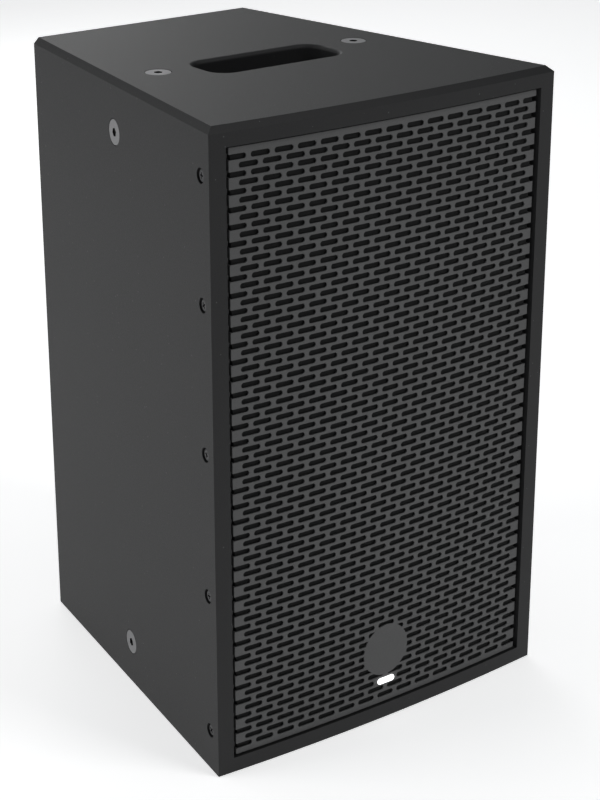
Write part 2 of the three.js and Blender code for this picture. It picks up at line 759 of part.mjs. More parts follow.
function dustCap() {
  const rim = coneDepth(DUST_CAP_R) - 2 * GAP;
  const height = 10;
  const thickness = 1;
  const steps = 3;
  const outer = [];
  const inner = [];
  for (let i = 0; i <= steps; i += 1) {
    const share = i / steps;
    const d = rim - height * (1 - share * share);
    outer.push([DUST_CAP_R * share, d]);
    inner.push([(DUST_CAP_R - 0.5) * share, d + thickness * (1 - 0.9 * share)]);
  }
  return turnedPart([...outer, ...inner.reverse()]);
}

const COIL_END = WOOFER_FRAME_DEPTH + 17;
const COIL_INNER_R = WOOFER_NECK_R - 1.6;
const COIL_OUTER_R = WOOFER_NECK_R - GAP;
const COIL_CLEARANCE = 0.6;
const SPIDER_R = 66;
const PLATE_R = 62;
const MAGNET_INNER_R = 34;
const PLATE_START = WOOFER_FRAME_DEPTH + GAP;
const TOP_PLATE_END = PLATE_START + 8;
const MAGNET_END = TOP_PLATE_END + GAP + 22;
const REAR_PLATE_START = MAGNET_END + GAP;
const REAR_PLATE_END = REAR_PLATE_START + 7;

// The moving parts of the woofer and the ring and spider that hold them.
function addDiaphragm() {
  add("woofer_surround", wooferSurround(), RUBBER);
  add("woofer_cone", wooferCone(), PAPER);
  add("woofer_dust_cap", dustCap(), PAPER);
  const coil = ring(COIL_INNER_R, COIL_OUTER_R, NECK_DEPTH - 1, COIL_END);
  add("woofer_voice_coil", turnedPart(coil), COPPER);
  const spider = ring(WOOFER_NECK_R, SPIDER_R, LEDGE_DEPTH - GAP - 1, LEDGE_DEPTH - GAP);
  add("woofer_spider", turnedPart(spider), PAPER);
}

function addMotor() {
  const topPlate = ring(COIL_OUTER_R + COIL_CLEARANCE, PLATE_R, PLATE_START, TOP_PLATE_END);
  add("woofer_top_plate", turnedPart(topPlate), DARK_STEEL);
  const magnet = ring(MAGNET_INNER_R, WOOFER_MAGNET_R, TOP_PLATE_END + GAP, MAGNET_END);
  add("woofer_magnet", turnedPart(magnet), FERRITE);
  const pole = [
    [0, PLATE_START],
    [COIL_INNER_R - COIL_CLEARANCE, PLATE_START],
    [COIL_INNER_R - COIL_CLEARANCE, REAR_PLATE_START],
    [PLATE_R, REAR_PLATE_START],
    [PLATE_R, REAR_PLATE_END],
    [0, REAR_PLATE_END],
  ];
  add("woofer_pole_piece", turnedPart(pole), DARK_STEEL);
}

// ---------------------------------------------------------------- horn and compression driver
// A flared shell that is round at the throat and an upright-to-wide oval at the mouth.
function hornShell(wall) {
  const steps = 4;
  const side = [];
  const mouth = HORN_MOUTH_HEIGHT / 2;
  for (let i = 0; i <= steps; i += 1) {
    const share = i / steps;
    const radius = HORN_THROAT_R + wall + (mouth - HORN_THROAT_R) * share * share;
    side.push([radius, HORN_LENGTH * (1 - share)]);
  }
  return side;
}

function widened(profile) {
  const geometry = turned(profile, FINE);
  const position = geometry.getAttribute("position");
  for (let i = 0; i < position.count; i += 1) {
    const share = 1 - Math.min(Math.max(position.getZ(i) / HORN_LENGTH, 0), 1);
    position.setX(i, position.getX(i) * (1 + (HORN_STRETCH - 1) * share));
  }
  return solidOf(geometry.applyMatrix4(along(BACKWARD(), 0, BAFFLE_Y, HORN_Z)));
}

function hornWaveguide() {
  const outside = hornShell(HORN_WALL);
  const inside = hornShell(0);
  const last = inside.length - 1;
  const front = [[0, -2], [outside[last][0], -2]];
  const solid = widened([...front, ...outside.reverse(), [0, HORN_LENGTH]]);
  const flangeShape = roundedRect(HORN_WIDTH, HORN_HEIGHT, HORN_CORNER_R, 0, 0);
  const flangeFront = BAFFLE_Y - GAP - HORN_FLANGE;
  const flange = slab(flangeShape, flangeFront, BAFFLE_Y - GAP).translate([0, 0, HORN_Z]);
  const round = new THREE.Shape().absellipse(0, 0, HORN_NECK_R, HORN_NECK_R, 0, 2 * Math.PI);
  const rear = slab(round, 0, HORN_NECK).translate([0, BAFFLE_Y + HORN_LENGTH - HORN_NECK, HORN_Z]);
  const ahead = -CUT_PAST;
  const beyond = HORN_LENGTH + CUT_PAST;
  const hollow = [[0, ahead], [inside[last][0] * 1.02, ahead], ...inside.reverse()];
  hollow.push([HORN_THROAT_R, beyond], [0, beyond]);
  return solid.add(flange).add(rear).subtract(widened(hollow));
}

function addDriver() {
  const start = HORN_LENGTH + GAP;
  const end = start + DRIVER_LENGTH;
  const place = along(BACKWARD(), 0, BAFFLE_Y, HORN_Z);
  const body = [
    [0, start + DRIVER_BORE],
    [HORN_THROAT_R, start + DRIVER_BORE],
    [HORN_THROAT_R, start],
    [DRIVER_R, start],
    [DRIVER_R, end],
    [0, end],
  ];
  add("tweeter_driver", turnedSolid(body, ROUND, place), DARK_STEEL);
  const cover = disc(DRIVER_COVER_R, end + GAP, end + DRIVER_COVER);
  add("tweeter_rear_cover", turnedSolid(cover, ROUND, place), MOULDED);
}

function portTube(side) {
  const outer = PORT_R + PORT_WALL;
  const profile = [
    [PORT_R, PORT_LENGTH],
    [PORT_R, -PORT_FLANGE],
    [PORT_FLANGE_R, -PORT_FLANGE],
    [PORT_FLANGE_R, -GAP],
    [outer, -GAP],
    [outer, PORT_LENGTH],
    [PORT_R, PORT_LENGTH],
  ];
  return turnedSolid(profile, ROUND, along(BACKWARD(), side * PORT_X, BAFFLE_Y, PORT_Z));
}

// ---------------------------------------------------------------- amplifier module
// A block drawn as (x, z) on the amplifier plate, from one distance behind the plate's face to another.
function rearBlock(width, height, x, z, inner, outer, radius = 1.5) {
  const shape = roundedRect(width, height, radius, 0, 0);
  return slab(shape, PANEL_FACE_Y + inner, PANEL_FACE_Y + outer, 2).translate([x, 0, z]);
}

function rearRound(radius, x, z, inner, outer, segments = ROUND) {
  return cylinder(radius, inner, outer, BACKWARD(), x, PANEL_FACE_Y, z, segments);
}

const SOCKET_BARREL_R = SOCKET_R + 1.6;
const LATCH_W = 7;
const LATCH_TRAVEL = 1.4;
const LATCH_ROOT = 1;
const LATCH_LENGTH = 3;
const LATCH_H = 3.6;
const LATCH_DZ = SOCKET_BARREL_R + LATCH_H / 2 - 0.6;
const SOCKET_FACE = 3.6;
const SOCKET_DEPTH = 24;
const SOCKET_FLOOR = 3;
const SOCKET_RECESS = 4;
const JACK_BORE_R = 3.4;
const PIN_HOLE_CIRCLE_R = 6.6;
const PIN_HOLE_DEPTH = 16;
const PIN_CIRCLE_R = 4.4;
const PIN_R = 1.2;
const PIN_SIDES = 6;
const PIN_SETBACK = 6;
const SHAFT_R = 3;
const SHAFT_DEPTH = 12;
const KNOB_LIFT = 0.6;
const KNOB_POINTER = 1.2;
const BUTTON_RISE = 3.4;
const BUTTON_DEPTH = 8;
const PLATE_CORNER_R = 4;
const PLATE_WINDOW_IN = 20;
const PLATE_WINDOW_DOWN = 6;
const ROCKER_CLEARANCE = 1.5;
const BOARD_SETBACK = 28;
const BOARD_SIZE = 120;
const SUPPLY_WIDTH = 110;
const SUPPLY_HEIGHT = 60;
const SUPPLY_NEAR = 5;
const SUPPLY_FAR = 40;
const FIN_THICKNESS = 2;
const FIN_SINK = 0.5;

function ampPanel() {
  const window = (width, height, x) => rearBlock(width, height, x, INLET_Z, -CUT_PAST, CUT_PAST);
  const hole = (radius, x, z, segments = ROUND) =>
    rearRound(radius + GAP, x, z, -CUT_PAST, CUT_PAST, segments);
  let panel = rearBlock(AMP_WIDTH, AMP_HEIGHT, 0, AMP_Z, -AMP_PLATE, 0, PLATE_CORNER_R);
  for (const side of [-1, 1]) {
    panel = panel.subtract(hole(SOCKET_BARREL_R, side * SOCKET_X, SOCKET_Z));
  }
  panel = panel.subtract(hole(SHAFT_R, -SOCKET_X, CONTROL_Z, SMALL));
  panel = panel.subtract(hole(BUTTON_R, SOCKET_X, CONTROL_Z));
  panel = panel.subtract(window(INLET_W - PLATE_WINDOW_IN, INLET_H - PLATE_WINDOW_DOWN, INLET_X));
  const room = 2 * ROCKER_CLEARANCE;
  return panel.subtract(window(ROCKER_W + room, ROCKER_H + room, ROCKER_X));
}

function heatSink() {
  const base = rearBlock(HEAT_SINK_WIDTH, HEAT_SINK_HEIGHT, 0, HEAT_SINK_Z, GAP, HEAT_SINK_BASE, 1);
  let sink = base;
  const inset = 0.75 * FIN_THICKNESS;
  const pitch = (HEAT_SINK_WIDTH - 2 * inset) / (HEAT_SINK_FINS - 1);
  for (let i = 0; i < HEAT_SINK_FINS; i += 1) {
    const x = -HEAT_SINK_WIDTH / 2 + inset + i * pitch;
    const y = PANEL_FACE_Y + HEAT_SINK_BASE + HEAT_SINK_FIN / 2 - FIN_SINK;
    sink = sink.add(box(FIN_THICKNESS, HEAT_SINK_FIN, HEAT_SINK_HEIGHT, x, y, HEAT_SINK_Z));
  }
  return sink;
}

function socketBody(x) {
  const flange = rearBlock(SOCKET_FLANGE_W, SOCKET_FLANGE_H, x, SOCKET_Z, GAP, SOCKET_FACE, 2);
  return flange.add(rearRound(SOCKET_BARREL_R, x, SOCKET_Z, -SOCKET_DEPTH, SOCKET_FACE));
}

// Three places on a circle about a socket's middle, from a starting angle.
function threeAround(x, radius, start) {
  return [0, 1, 2].map((i) => {
    const turn = start + (i * 2 * Math.PI) / 3;
    return [x + radius * Math.cos(turn), SOCKET_Z + radius * Math.sin(turn)];
  });
}

// Microphone and jack input: a recessed core with a centre hole, three pin holes and a latch slot.
function inputSocket() {
  const x = -SOCKET_X;
  const floor = SOCKET_FLOOR - SOCKET_DEPTH;
  let body = socketBody(x).subtract(rearRound(SOCKET_R, x, SOCKET_Z, -SOCKET_RECESS, CUT_PAST));
  body = body.subtract(rearRound(JACK_BORE_R, x, SOCKET_Z, floor, CUT_PAST, SMALL));
  for (const [px, pz] of threeAround(x, PIN_HOLE_CIRCLE_R, Math.PI / 2)) {
    body = body.subtract(rearRound(PIN_R, px, pz, -PIN_HOLE_DEPTH, CUT_PAST, PIN_SIDES));
  }
  return body.subtract(latchBlock(GAP, LATCH_TRAVEL + GAP, CUT_PAST));
}

// The spring latch beside the input's mouth; it slides into its socket when pressed.
function latchBlock(spare, below, above) {
  const width = LATCH_W + 2 * spare;
  const height = LATCH_H + 2 * spare;
  const z = SOCKET_Z + LATCH_DZ;
  const y = PANEL_FACE_Y + SOCKET_FACE - LATCH_ROOT;
  return box(width, below + above, height, -SOCKET_X, y + (above - below) / 2, z);
}

function inputLatch() {
  return latchBlock(0, 0, LATCH_LENGTH);
}

function outputSocket() {
  const x = SOCKET_X;
  const floor = SOCKET_FLOOR - SOCKET_DEPTH;
  let body = socketBody(x).subtract(rearRound(SOCKET_R, x, SOCKET_Z, floor, CUT_PAST));
  for (const [px, pz] of threeAround(x, PIN_CIRCLE_R, -Math.PI / 2)) {
    body = body.add(rearRound(PIN_R, px, pz, floor - 1, -PIN_SETBACK, PIN_SIDES));
  }
  return body;
}

function levelKnob() {
  const x = -SOCKET_X;
  const end = KNOB_LIFT + KNOB_LENGTH;
  const profile = [
    [0, KNOB_LIFT],
    [KNOB_R, KNOB_LIFT],
    [KNOB_R, KNOB_LIFT + 2],
    [KNOB_R - 1, end - 1],
    [KNOB_R - 2, end],
    [0, end],
  ];
  const place = along(BACKWARD(), x, PANEL_FACE_Y, CONTROL_Z);
  const cap = turnedSolid(profile, ROUND, place);
  const shaft = rearRound(SHAFT_R, x, CONTROL_Z, -SHAFT_DEPTH, KNOB_LIFT + 1, SMALL);
  const reach = (KNOB_R * 2) / 3;
  const z = CONTROL_Z + reach / 2 + 1;
  return cap.add(shaft).subtract(box(KNOB_POINTER, 1, reach, x, PANEL_FACE_Y + end, z));
}

function presetButton() {
  return rearRound(BUTTON_R, SOCKET_X, CONTROL_Z, -BUTTON_DEPTH, BUTTON_RISE);
}

const INLET_FACE = 2.6;
const INLET_DEPTH = 22;
const INLET_FLOOR = 3;
const INLET_WALL = 1.5;
const INLET_LIP_IN = 21;
const INLET_LIP_DOWN = 7;
const BLADE_SPREAD = 7;
const BLADE_OFFSET = 2;
const BLADE_SETBACK = 5;

function mainsInlet() {
  const width = INLET_W - INLET_LIP_IN;
  const height = INLET_H - INLET_LIP_DOWN;
  const room = 2 * INLET_WALL;
  const floor = INLET_FLOOR - INLET_DEPTH;
  let body = rearBlock(INLET_W, INLET_H, INLET_X, INLET_Z, GAP, INLET_FACE, 3);
  body = body.add(rearBlock(width, height, INLET_X, INLET_Z, -INLET_DEPTH, INLET_FACE, 2));
  body = body.subtract(rearBlock(width - room, height - room, INLET_X, INLET_Z, floor, CUT_PAST, 2));
  for (const place of [-1, 0, 1]) {
    const z = INLET_Z + (place === 0 ? BLADE_OFFSET : -BLADE_OFFSET);
    const x = INLET_X + place * BLADE_SPREAD;
    body = body.add(rearBlock(2, 4, x, z, floor - 1, -BLADE_SETBACK, 0.2));
  }
  return body;
}

const ROCKER_BODY = 8;
const ROCKER_TIP = 2.2;
const ROCKER_VALLEY = 0.4;
const ROCKER_DRAFT = 0.6;
const ROCKER_PIVOT = 5;
const ROCKER_TILT = (7 * Math.PI) / 180;

// The power switch's rocker: a shallow V front that rocks about an upright axis behind the plate.
// It lies over to its off side.
function powerRocker() {
  const half = ROCKER_W / 2;
  const shape = new THREE.Shape();
  shape.moveTo(-half + ROCKER_DRAFT, -ROCKER_BODY);
  shape.lineTo(half - ROCKER_DRAFT, -ROCKER_BODY);
  shape.lineTo(half, ROCKER_TIP);
  shape.lineTo(0, ROCKER_VALLEY);
  shape.lineTo(-half, ROCKER_TIP);
  const geometry = new THREE.ExtrudeGeometry(shape, { depth: ROCKER_H - 1, bevelEnabled: false });
  geometry.translate(0, ROCKER_PIVOT, 0).rotateZ(-ROCKER_TILT);
  const y = PANEL_FACE_Y - ROCKER_PIVOT;
  return solidOf(geometry.translate(ROCKER_X, y, INLET_Z - (ROCKER_H - 1) / 2));
}

function addAmplifier() {
  add("amp_panel", ampPanel(), ALUMINIUM);
  add("amp_heat_sink", heatSink(), ALUMINIUM);
  add("input_socket", inputSocket(), MOULDED);
  add("input_latch", inputLatch(), STEEL);
  add("output_socket", outputSocket(), MOULDED);
  add("level_knob", levelKnob(), MOULDED);
  add("preset_button", presetButton(), MOULDED);
  add("mains_inlet", mainsInlet(), MOULDED);
  add("power_rocker", powerRocker(), MOULDED);
  const inner = -AMP_PLATE - BOARD_SETBACK;
  const board = rearBlock(BOARD_SIZE, BOARD_SIZE, 0, AMP_Z, inner - BOARD_THICKNESS, inner, 1);
  add("amp_board", board, BOARD);
  const supplyZ = AMP_Z - SUPPLY_HEIGHT;
  const supplyBack = inner - SUPPLY_NEAR;
  const supplyFront = inner - SUPPLY_FAR;
  const supply = rearBlock(SUPPLY_WIDTH, SUPPLY_HEIGHT, 0, supplyZ, supplyFront, supplyBack, 2);
  add("power_supply", supply, DARK_STEEL);
}

// ---------------------------------------------------------------- assembly
add("top_panel", topPanel(), PAINT);
add("bottom_panel", bottomPanel(), PAINT);
add("side_panel_left", sidePanel(-1), PAINT);
add("side_panel_right", sidePanel(1), PAINT);
add("rear_panel", rearPanel(), PAINT);
add("front_baffle", frontBaffle(), PLYWOOD);
add("grille", grille(), GRILLE_PAINT);
add("grille_foam", grilleFoam(), FOAM);
add("status_light_pipe", lightPipe(), LIGHT);
add("status_light_board", lightBoard(), BOARD);
addGrilleScrews();
addRigging();
add("handle_cup", handleCup(), MOULDED);
add("pole_socket", poleSocket(), MOULDED);
add("port_tube_left", portTube(-1), MOULDED);
add("port_tube_right", portTube(1), MOULDED);
add("woofer_basket", wooferBasket(), DARK_STEEL);
add("woofer_gasket", wooferGasket(), RUBBER);
addDiaphragm();
addMotor();
add("horn_waveguide", hornWaveguide(), MOULDED);
addDriver();
addAmplifier();

export default group;
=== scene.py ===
"""Looks of a powered loudspeaker cabinet: painted box, slotted grille, fittings and amplifier panel."""

import json
import math

import bmesh
import bpy
from mathutils import Matrix, Vector


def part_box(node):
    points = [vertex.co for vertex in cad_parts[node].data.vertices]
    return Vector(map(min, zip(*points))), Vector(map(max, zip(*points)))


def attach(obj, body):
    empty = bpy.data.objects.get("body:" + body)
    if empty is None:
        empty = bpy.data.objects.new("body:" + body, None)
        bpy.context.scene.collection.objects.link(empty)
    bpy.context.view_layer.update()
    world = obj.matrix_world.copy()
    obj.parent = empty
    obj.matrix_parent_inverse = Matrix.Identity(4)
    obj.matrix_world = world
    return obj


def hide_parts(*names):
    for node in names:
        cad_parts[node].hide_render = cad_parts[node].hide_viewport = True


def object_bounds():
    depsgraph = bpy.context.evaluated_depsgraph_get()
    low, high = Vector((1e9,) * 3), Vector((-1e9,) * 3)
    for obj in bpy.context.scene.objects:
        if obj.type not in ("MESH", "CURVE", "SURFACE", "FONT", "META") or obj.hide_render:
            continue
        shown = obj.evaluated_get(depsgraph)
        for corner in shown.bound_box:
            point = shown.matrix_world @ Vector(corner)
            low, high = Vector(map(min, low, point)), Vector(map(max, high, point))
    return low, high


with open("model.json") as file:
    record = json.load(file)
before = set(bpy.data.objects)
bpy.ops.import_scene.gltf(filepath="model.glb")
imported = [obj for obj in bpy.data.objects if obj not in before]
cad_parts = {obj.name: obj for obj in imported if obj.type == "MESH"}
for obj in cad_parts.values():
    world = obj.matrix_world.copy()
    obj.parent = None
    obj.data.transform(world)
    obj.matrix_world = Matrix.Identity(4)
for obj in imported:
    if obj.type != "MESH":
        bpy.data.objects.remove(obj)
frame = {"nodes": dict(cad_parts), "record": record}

bl_info = {
    "name": "Loudspeaker Cabinet",
    "version": (1, 0, 0),
    "blender": (4, 5, 0),
    "location": "3D View > Sidebar > Cabinet",
    "description": "Builds the visible pieces and finishes of a powered loudspeaker cabinet",
    "category": "Object",
}

MM = 0.001
WELD = 0.02 * MM
CAD_BOX = [list(corner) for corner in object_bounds()]
LOW = Vector(CAD_BOX[0])
HIGH = Vector(CAD_BOX[1])
CABINET = "cabinet"


def face_of(node, side, axis):
    """One coordinate of a part's box: side 0 is its low end and 1 its high end."""
    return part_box(node)[side][axis]


def centre_of(node):
    """The middle of a part's box."""
    low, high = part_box(node)
    return (low + high) / 2


CORNER_Y = face_of("side_panel_left", 0, 1)
REAR_Y = HIGH.y
BOW = CORNER_Y - LOW.y
HALF_FRONT = HIGH.x
HALF_REAR = max(v.co.x for v in frame["nodes"]["bottom_panel"].data.vertices if v.co.y > REAR_Y - WELD)
WALL_X = HALF_REAR - face_of("side_panel_right", 0, 0)
FLOOR_INNER = face_of("bottom_panel", 1, 2)
TOP_INNER = face_of("top_panel", 0, 2)
TOP = HIGH.z
TAPER = math.atan2(HALF_FRONT - HALF_REAR, REAR_Y - CORNER_Y)
GRILLE_FRONT = face_of("grille", 0, 1)
AMP_FACE = face_of("amp_panel", 1, 1)
LIGHT_Z = centre_of("status_light_pipe").z
SMOOTH_BELOW = math.radians(30)


def half_at(y):
    """Half of the cabinet's outer width at y."""
    return HALF_FRONT - (y - CORNER_Y) * math.tan(TAPER)


# ---- settings
class CabinetSettings(bpy.types.PropertyGroup):
    """Sizes of the painted box and its fittings."""

    chamfer: bpy.props.FloatProperty(
        name="Top chamfer", description="Width of the flat cut along the top edges",
        default=4.5 * MM, unit="LENGTH", subtype="DISTANCE")
    edge_round: bpy.props.FloatProperty(
        name="Edge rounding", description="Radius of the softened outer edges",
        default=1.1 * MM, unit="LENGTH", subtype="DISTANCE")
    handle_round: bpy.props.FloatProperty(
        name="Handle rounding", description="Radius of the handle opening's rim",
        default=3.4 * MM, unit="LENGTH", subtype="DISTANCE")
    paint_tone: bpy.props.FloatVectorProperty(
        name="Paint", description="Colour of the textured paint",
        default=(0.0185, 0.0185, 0.019), subtype="COLOR")
    steel_tone: bpy.props.FloatVectorProperty(
        name="Rigging screw", description="Colour of the flush rigging screws",
        default=(0.22, 0.22, 0.224), subtype="COLOR")


class GrilleSettings(bpy.types.PropertyGroup):
    """Sizes of the slotted grille."""

    pitch: bpy.props.FloatProperty(
        name="Slot pitch", description="Distance between slots along a row",
        default=19.23 * MM, unit="LENGTH", subtype="DISTANCE")
    row: bpy.props.FloatProperty(
        name="Row pitch", description="Distance between rows",
        default=6.175 * MM, unit="LENGTH", subtype="DISTANCE")
    slot_length: bpy.props.FloatProperty(
        name="Slot length", description="Length of a slot over its round ends",
        default=15.6 * MM, unit="LENGTH", subtype="DISTANCE")
    slot_height: bpy.props.FloatProperty(
        name="Slot height", description="Height of a slot",
        default=4.2 * MM, unit="LENGTH", subtype="DISTANCE")
    thickness: bpy.props.FloatProperty(
        name="Sheet", description="Thickness of the steel sheet",
        default=1.0 * MM, unit="LENGTH", subtype="DISTANCE")
    rows: bpy.props.IntProperty(name="Rows", description="Rows of slots", default=75)
    columns: bpy.props.IntProperty(name="Columns", description="Slots in a wide row", default=15)
    disc_radius: bpy.props.FloatProperty(
        name="Plain disc", description="Radius of the unslotted disc above the light",
        default=21.7 * MM, unit="LENGTH", subtype="DISTANCE")
    disc_rise: bpy.props.FloatProperty(
        name="Disc rise", description="Height of the disc's middle above the light",
        default=26.6 * MM, unit="LENGTH", subtype="DISTANCE")
    tone: bpy.props.FloatVectorProperty(
        name="Grille", description="Colour of the grille's coating",
        default=(0.088, 0.088, 0.0885), subtype="COLOR")


class StageSettings(bpy.types.PropertyGroup):
    """Camera and floor."""

    camera_place: bpy.props.FloatVectorProperty(
        name="Camera", description="Where the camera stands",
        default=(-0.9236, -1.2736, 0.8459), subtype="TRANSLATION")
    azimuth: bpy.props.FloatProperty(
        name="Azimuth", description="Angle round the cabinet",
        default=math.radians(-37.033), subtype="ANGLE")
    elevation: bpy.props.FloatProperty(
        name="Elevation", description="Angle above the horizon",
        default=math.radians(21.766), subtype="ANGLE")
    lens: bpy.props.FloatProperty(name="Lens", description="Focal length in millimetres", default=93.787)
    floor_tone: bpy.props.FloatVectorProperty(
        name="Floor", description="Colour of the floor", default=(0.94, 0.94, 0.94), subtype="COLOR")


# ---- modelling helpers
def deselect():
    if bpy.context.object and bpy.context.object.mode != "OBJECT":
        bpy.ops.object.mode_set(mode="OBJECT")
    bpy.ops.object.select_all(action="DESELECT")


def activate(obj):
    deselect()
    obj.select_set(True)
    bpy.context.view_layer.objects.active = obj
    return obj


def settle(obj):
    """Moves an object's placement into its mesh."""
    activate(obj)
    bpy.ops.object.transform_apply(location=True, rotation=True, scale=True)
    return obj


def cube(width, depth, height, centre):
    deselect()
    bpy.ops.mesh.primitive_cube_add(size=1, location=centre, scale=(width, depth, height))
    return settle(bpy.context.object)


def grid(width, height, columns, rows, centre=(0, 0, 0)):
    """A flat sheet of columns by rows of faces."""
    deselect()
    bpy.ops.mesh.primitive_grid_add(x_subdivisions=columns, y_subdivisions=rows, size=1, location=centre)
    sheet = bpy.context.object
    sheet.scale = (width, height, 1)
    return settle(sheet)


def drum(radius, height, centre, direction=(0, 0, 1), sides=32, top_radius=None):
    """A cylinder or cone whose axis runs along direction; centre is its middle."""
    deselect()
    turn = Vector(direction).to_track_quat("Z", "Y").to_euler()
    bpy.ops.mesh.primitive_cone_add(
        vertices=sides, radius1=radius, radius2=radius if top_radius is None else top_radius,
        depth=height, location=centre, rotation=turn)
    return settle(bpy.context.object)


def pick(obj, kind, test):
    """In edit mode, selects the vertices, edges or faces that pass test, and returns how many."""
    activate(obj)
    bpy.ops.object.mode_set(mode="EDIT")
    bpy.ops.mesh.select_mode(type=kind)
    bpy.ops.mesh.select_all(action="DESELECT")
    form = bmesh.from_edit_mesh(obj.data)
    items = {"VERT": form.verts, "EDGE": form.edges, "FACE": form.faces}[kind]
    count = 0
    for item in items:
        if test(item):
            item.select_set(True)
            count += 1
    form.select_flush_mode()
    bmesh.update_edit_mesh(obj.data)
    return count


def pick_all(obj):
    """Enters edit mode with everything selected."""
    activate(obj)
    bpy.ops.object.mode_set(mode="EDIT")
    bpy.ops.mesh.select_all(action="SELECT")


def leave():
    bpy.ops.object.mode_set(mode="OBJECT")


def middle(item):
    """The middle of an edge or face."""
    points = [v.co for v in item.verts]
    return sum(points, Vector()) / len(points)


def along(edge, axis, slack=1e-4):
    """True if an edge runs along an axis."""
    step = (edge.verts[1].co - edge.verts[0].co).normalized()
    return abs(abs(step[axis]) - 1) < slack


def bevel(obj, width, segments, test):
    """Rounds or cuts the edges that pass test."""
    if not pick(obj, "EDGE", test):
        raise RuntimeError("no edge to bevel on " + obj.name)
    bpy.ops.mesh.bevel(offset=width, offset_type="OFFSET", segments=segments, affect="EDGES")
    leave()
    return obj


def modify(obj, kind, **values):
    """Adds a modifier with these values and applies it."""
    activate(obj)
    modifier = obj.modifiers.new(kind, kind)
    for key, value in values.items():
        setattr(modifier, key, value)
    bpy.ops.object.modifier_apply(modifier=modifier.name)
    return obj


def boolean(obj, other, operation="DIFFERENCE"):
    """Cuts with another object, or joins it, and removes it."""
    modify(obj, "BOOLEAN", object=other, operation=operation, solver="EXACT")
    bpy.data.objects.remove(other)
    return obj


def repeated(obj, count, step):
    """Repeats a shape count times, each copy one step further on."""
    return modify(
        obj, "ARRAY", count=count, use_relative_offset=False, use_constant_offset=True,
        constant_offset_displace=step)


def join(objects):
    """Joins objects into the first one."""
    activate(objects[0])
    for obj in objects[1:]:
        obj.select_set(True)
    bpy.ops.object.join()
    return bpy.context.object


def weld(obj):
    pick_all(obj)
    bpy.ops.mesh.remove_doubles(threshold=WELD)
    leave()
    return obj


def outward(obj):
    """Turns every face outwards."""
    pick_all(obj)
    bpy.ops.mesh.normals_make_consistent(inside=False)
    leave()
    return obj


def soften(obj, width, segments=2, angle=35):
    return modify(
        obj, "BEVEL", width=width, segments=segments, limit_method="ANGLE", angle_limit=math.radians(angle))


def copy_to(obj, name, matrix):
    """A copy with its own mesh, placed by a matrix that goes into the mesh."""
    twin = obj.copy()
    twin.data = obj.data.copy()
    twin.name = name
    bpy.context.scene.collection.objects.link(twin)
    twin.data.transform(matrix)
    return twin


def facing(direction, place):
    """Placement that turns local +Z to a direction at a place."""
    turn = Vector(direction).to_track_quat("Z", "Y").to_matrix().to_4x4()
    return Matrix.Translation(Vector(place)) @ turn


def turned_at(place, angle, axis="Z"):
    """A turn about an axis through a place."""
    return Matrix.Translation(place) @ Matrix.Rotation(angle, 4, axis) @ Matrix.Translation(-Vector(place))


def coat(obj, slot):
    """Gives the whole object one finish."""
    obj.data.materials.clear()
    obj.data.materials.append(FINISHES[slot])
    return obj


def finish_piece(obj, name, slot, *nodes, body=CABINET, coated=True, weighted=True):
    """Names a piece, smooths it, gives it its finish unless it has its own, and ties it to the frame."""
    activate(obj)
    obj.name = name
    obj.data.name = name
    bpy.ops.object.shade_smooth_by_angle(angle=SMOOTH_BELOW)
    if weighted:
        modify(obj, "WEIGHTED_NORMAL", keep_sharp=True)
    if coated:
        coat(obj, slot)
    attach(obj, body)
    if nodes:
        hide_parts(*nodes)
    return obj


# ---- finishes
def shade(tone, factor):
    return tuple(min(1.0, c * factor) for c in tone)


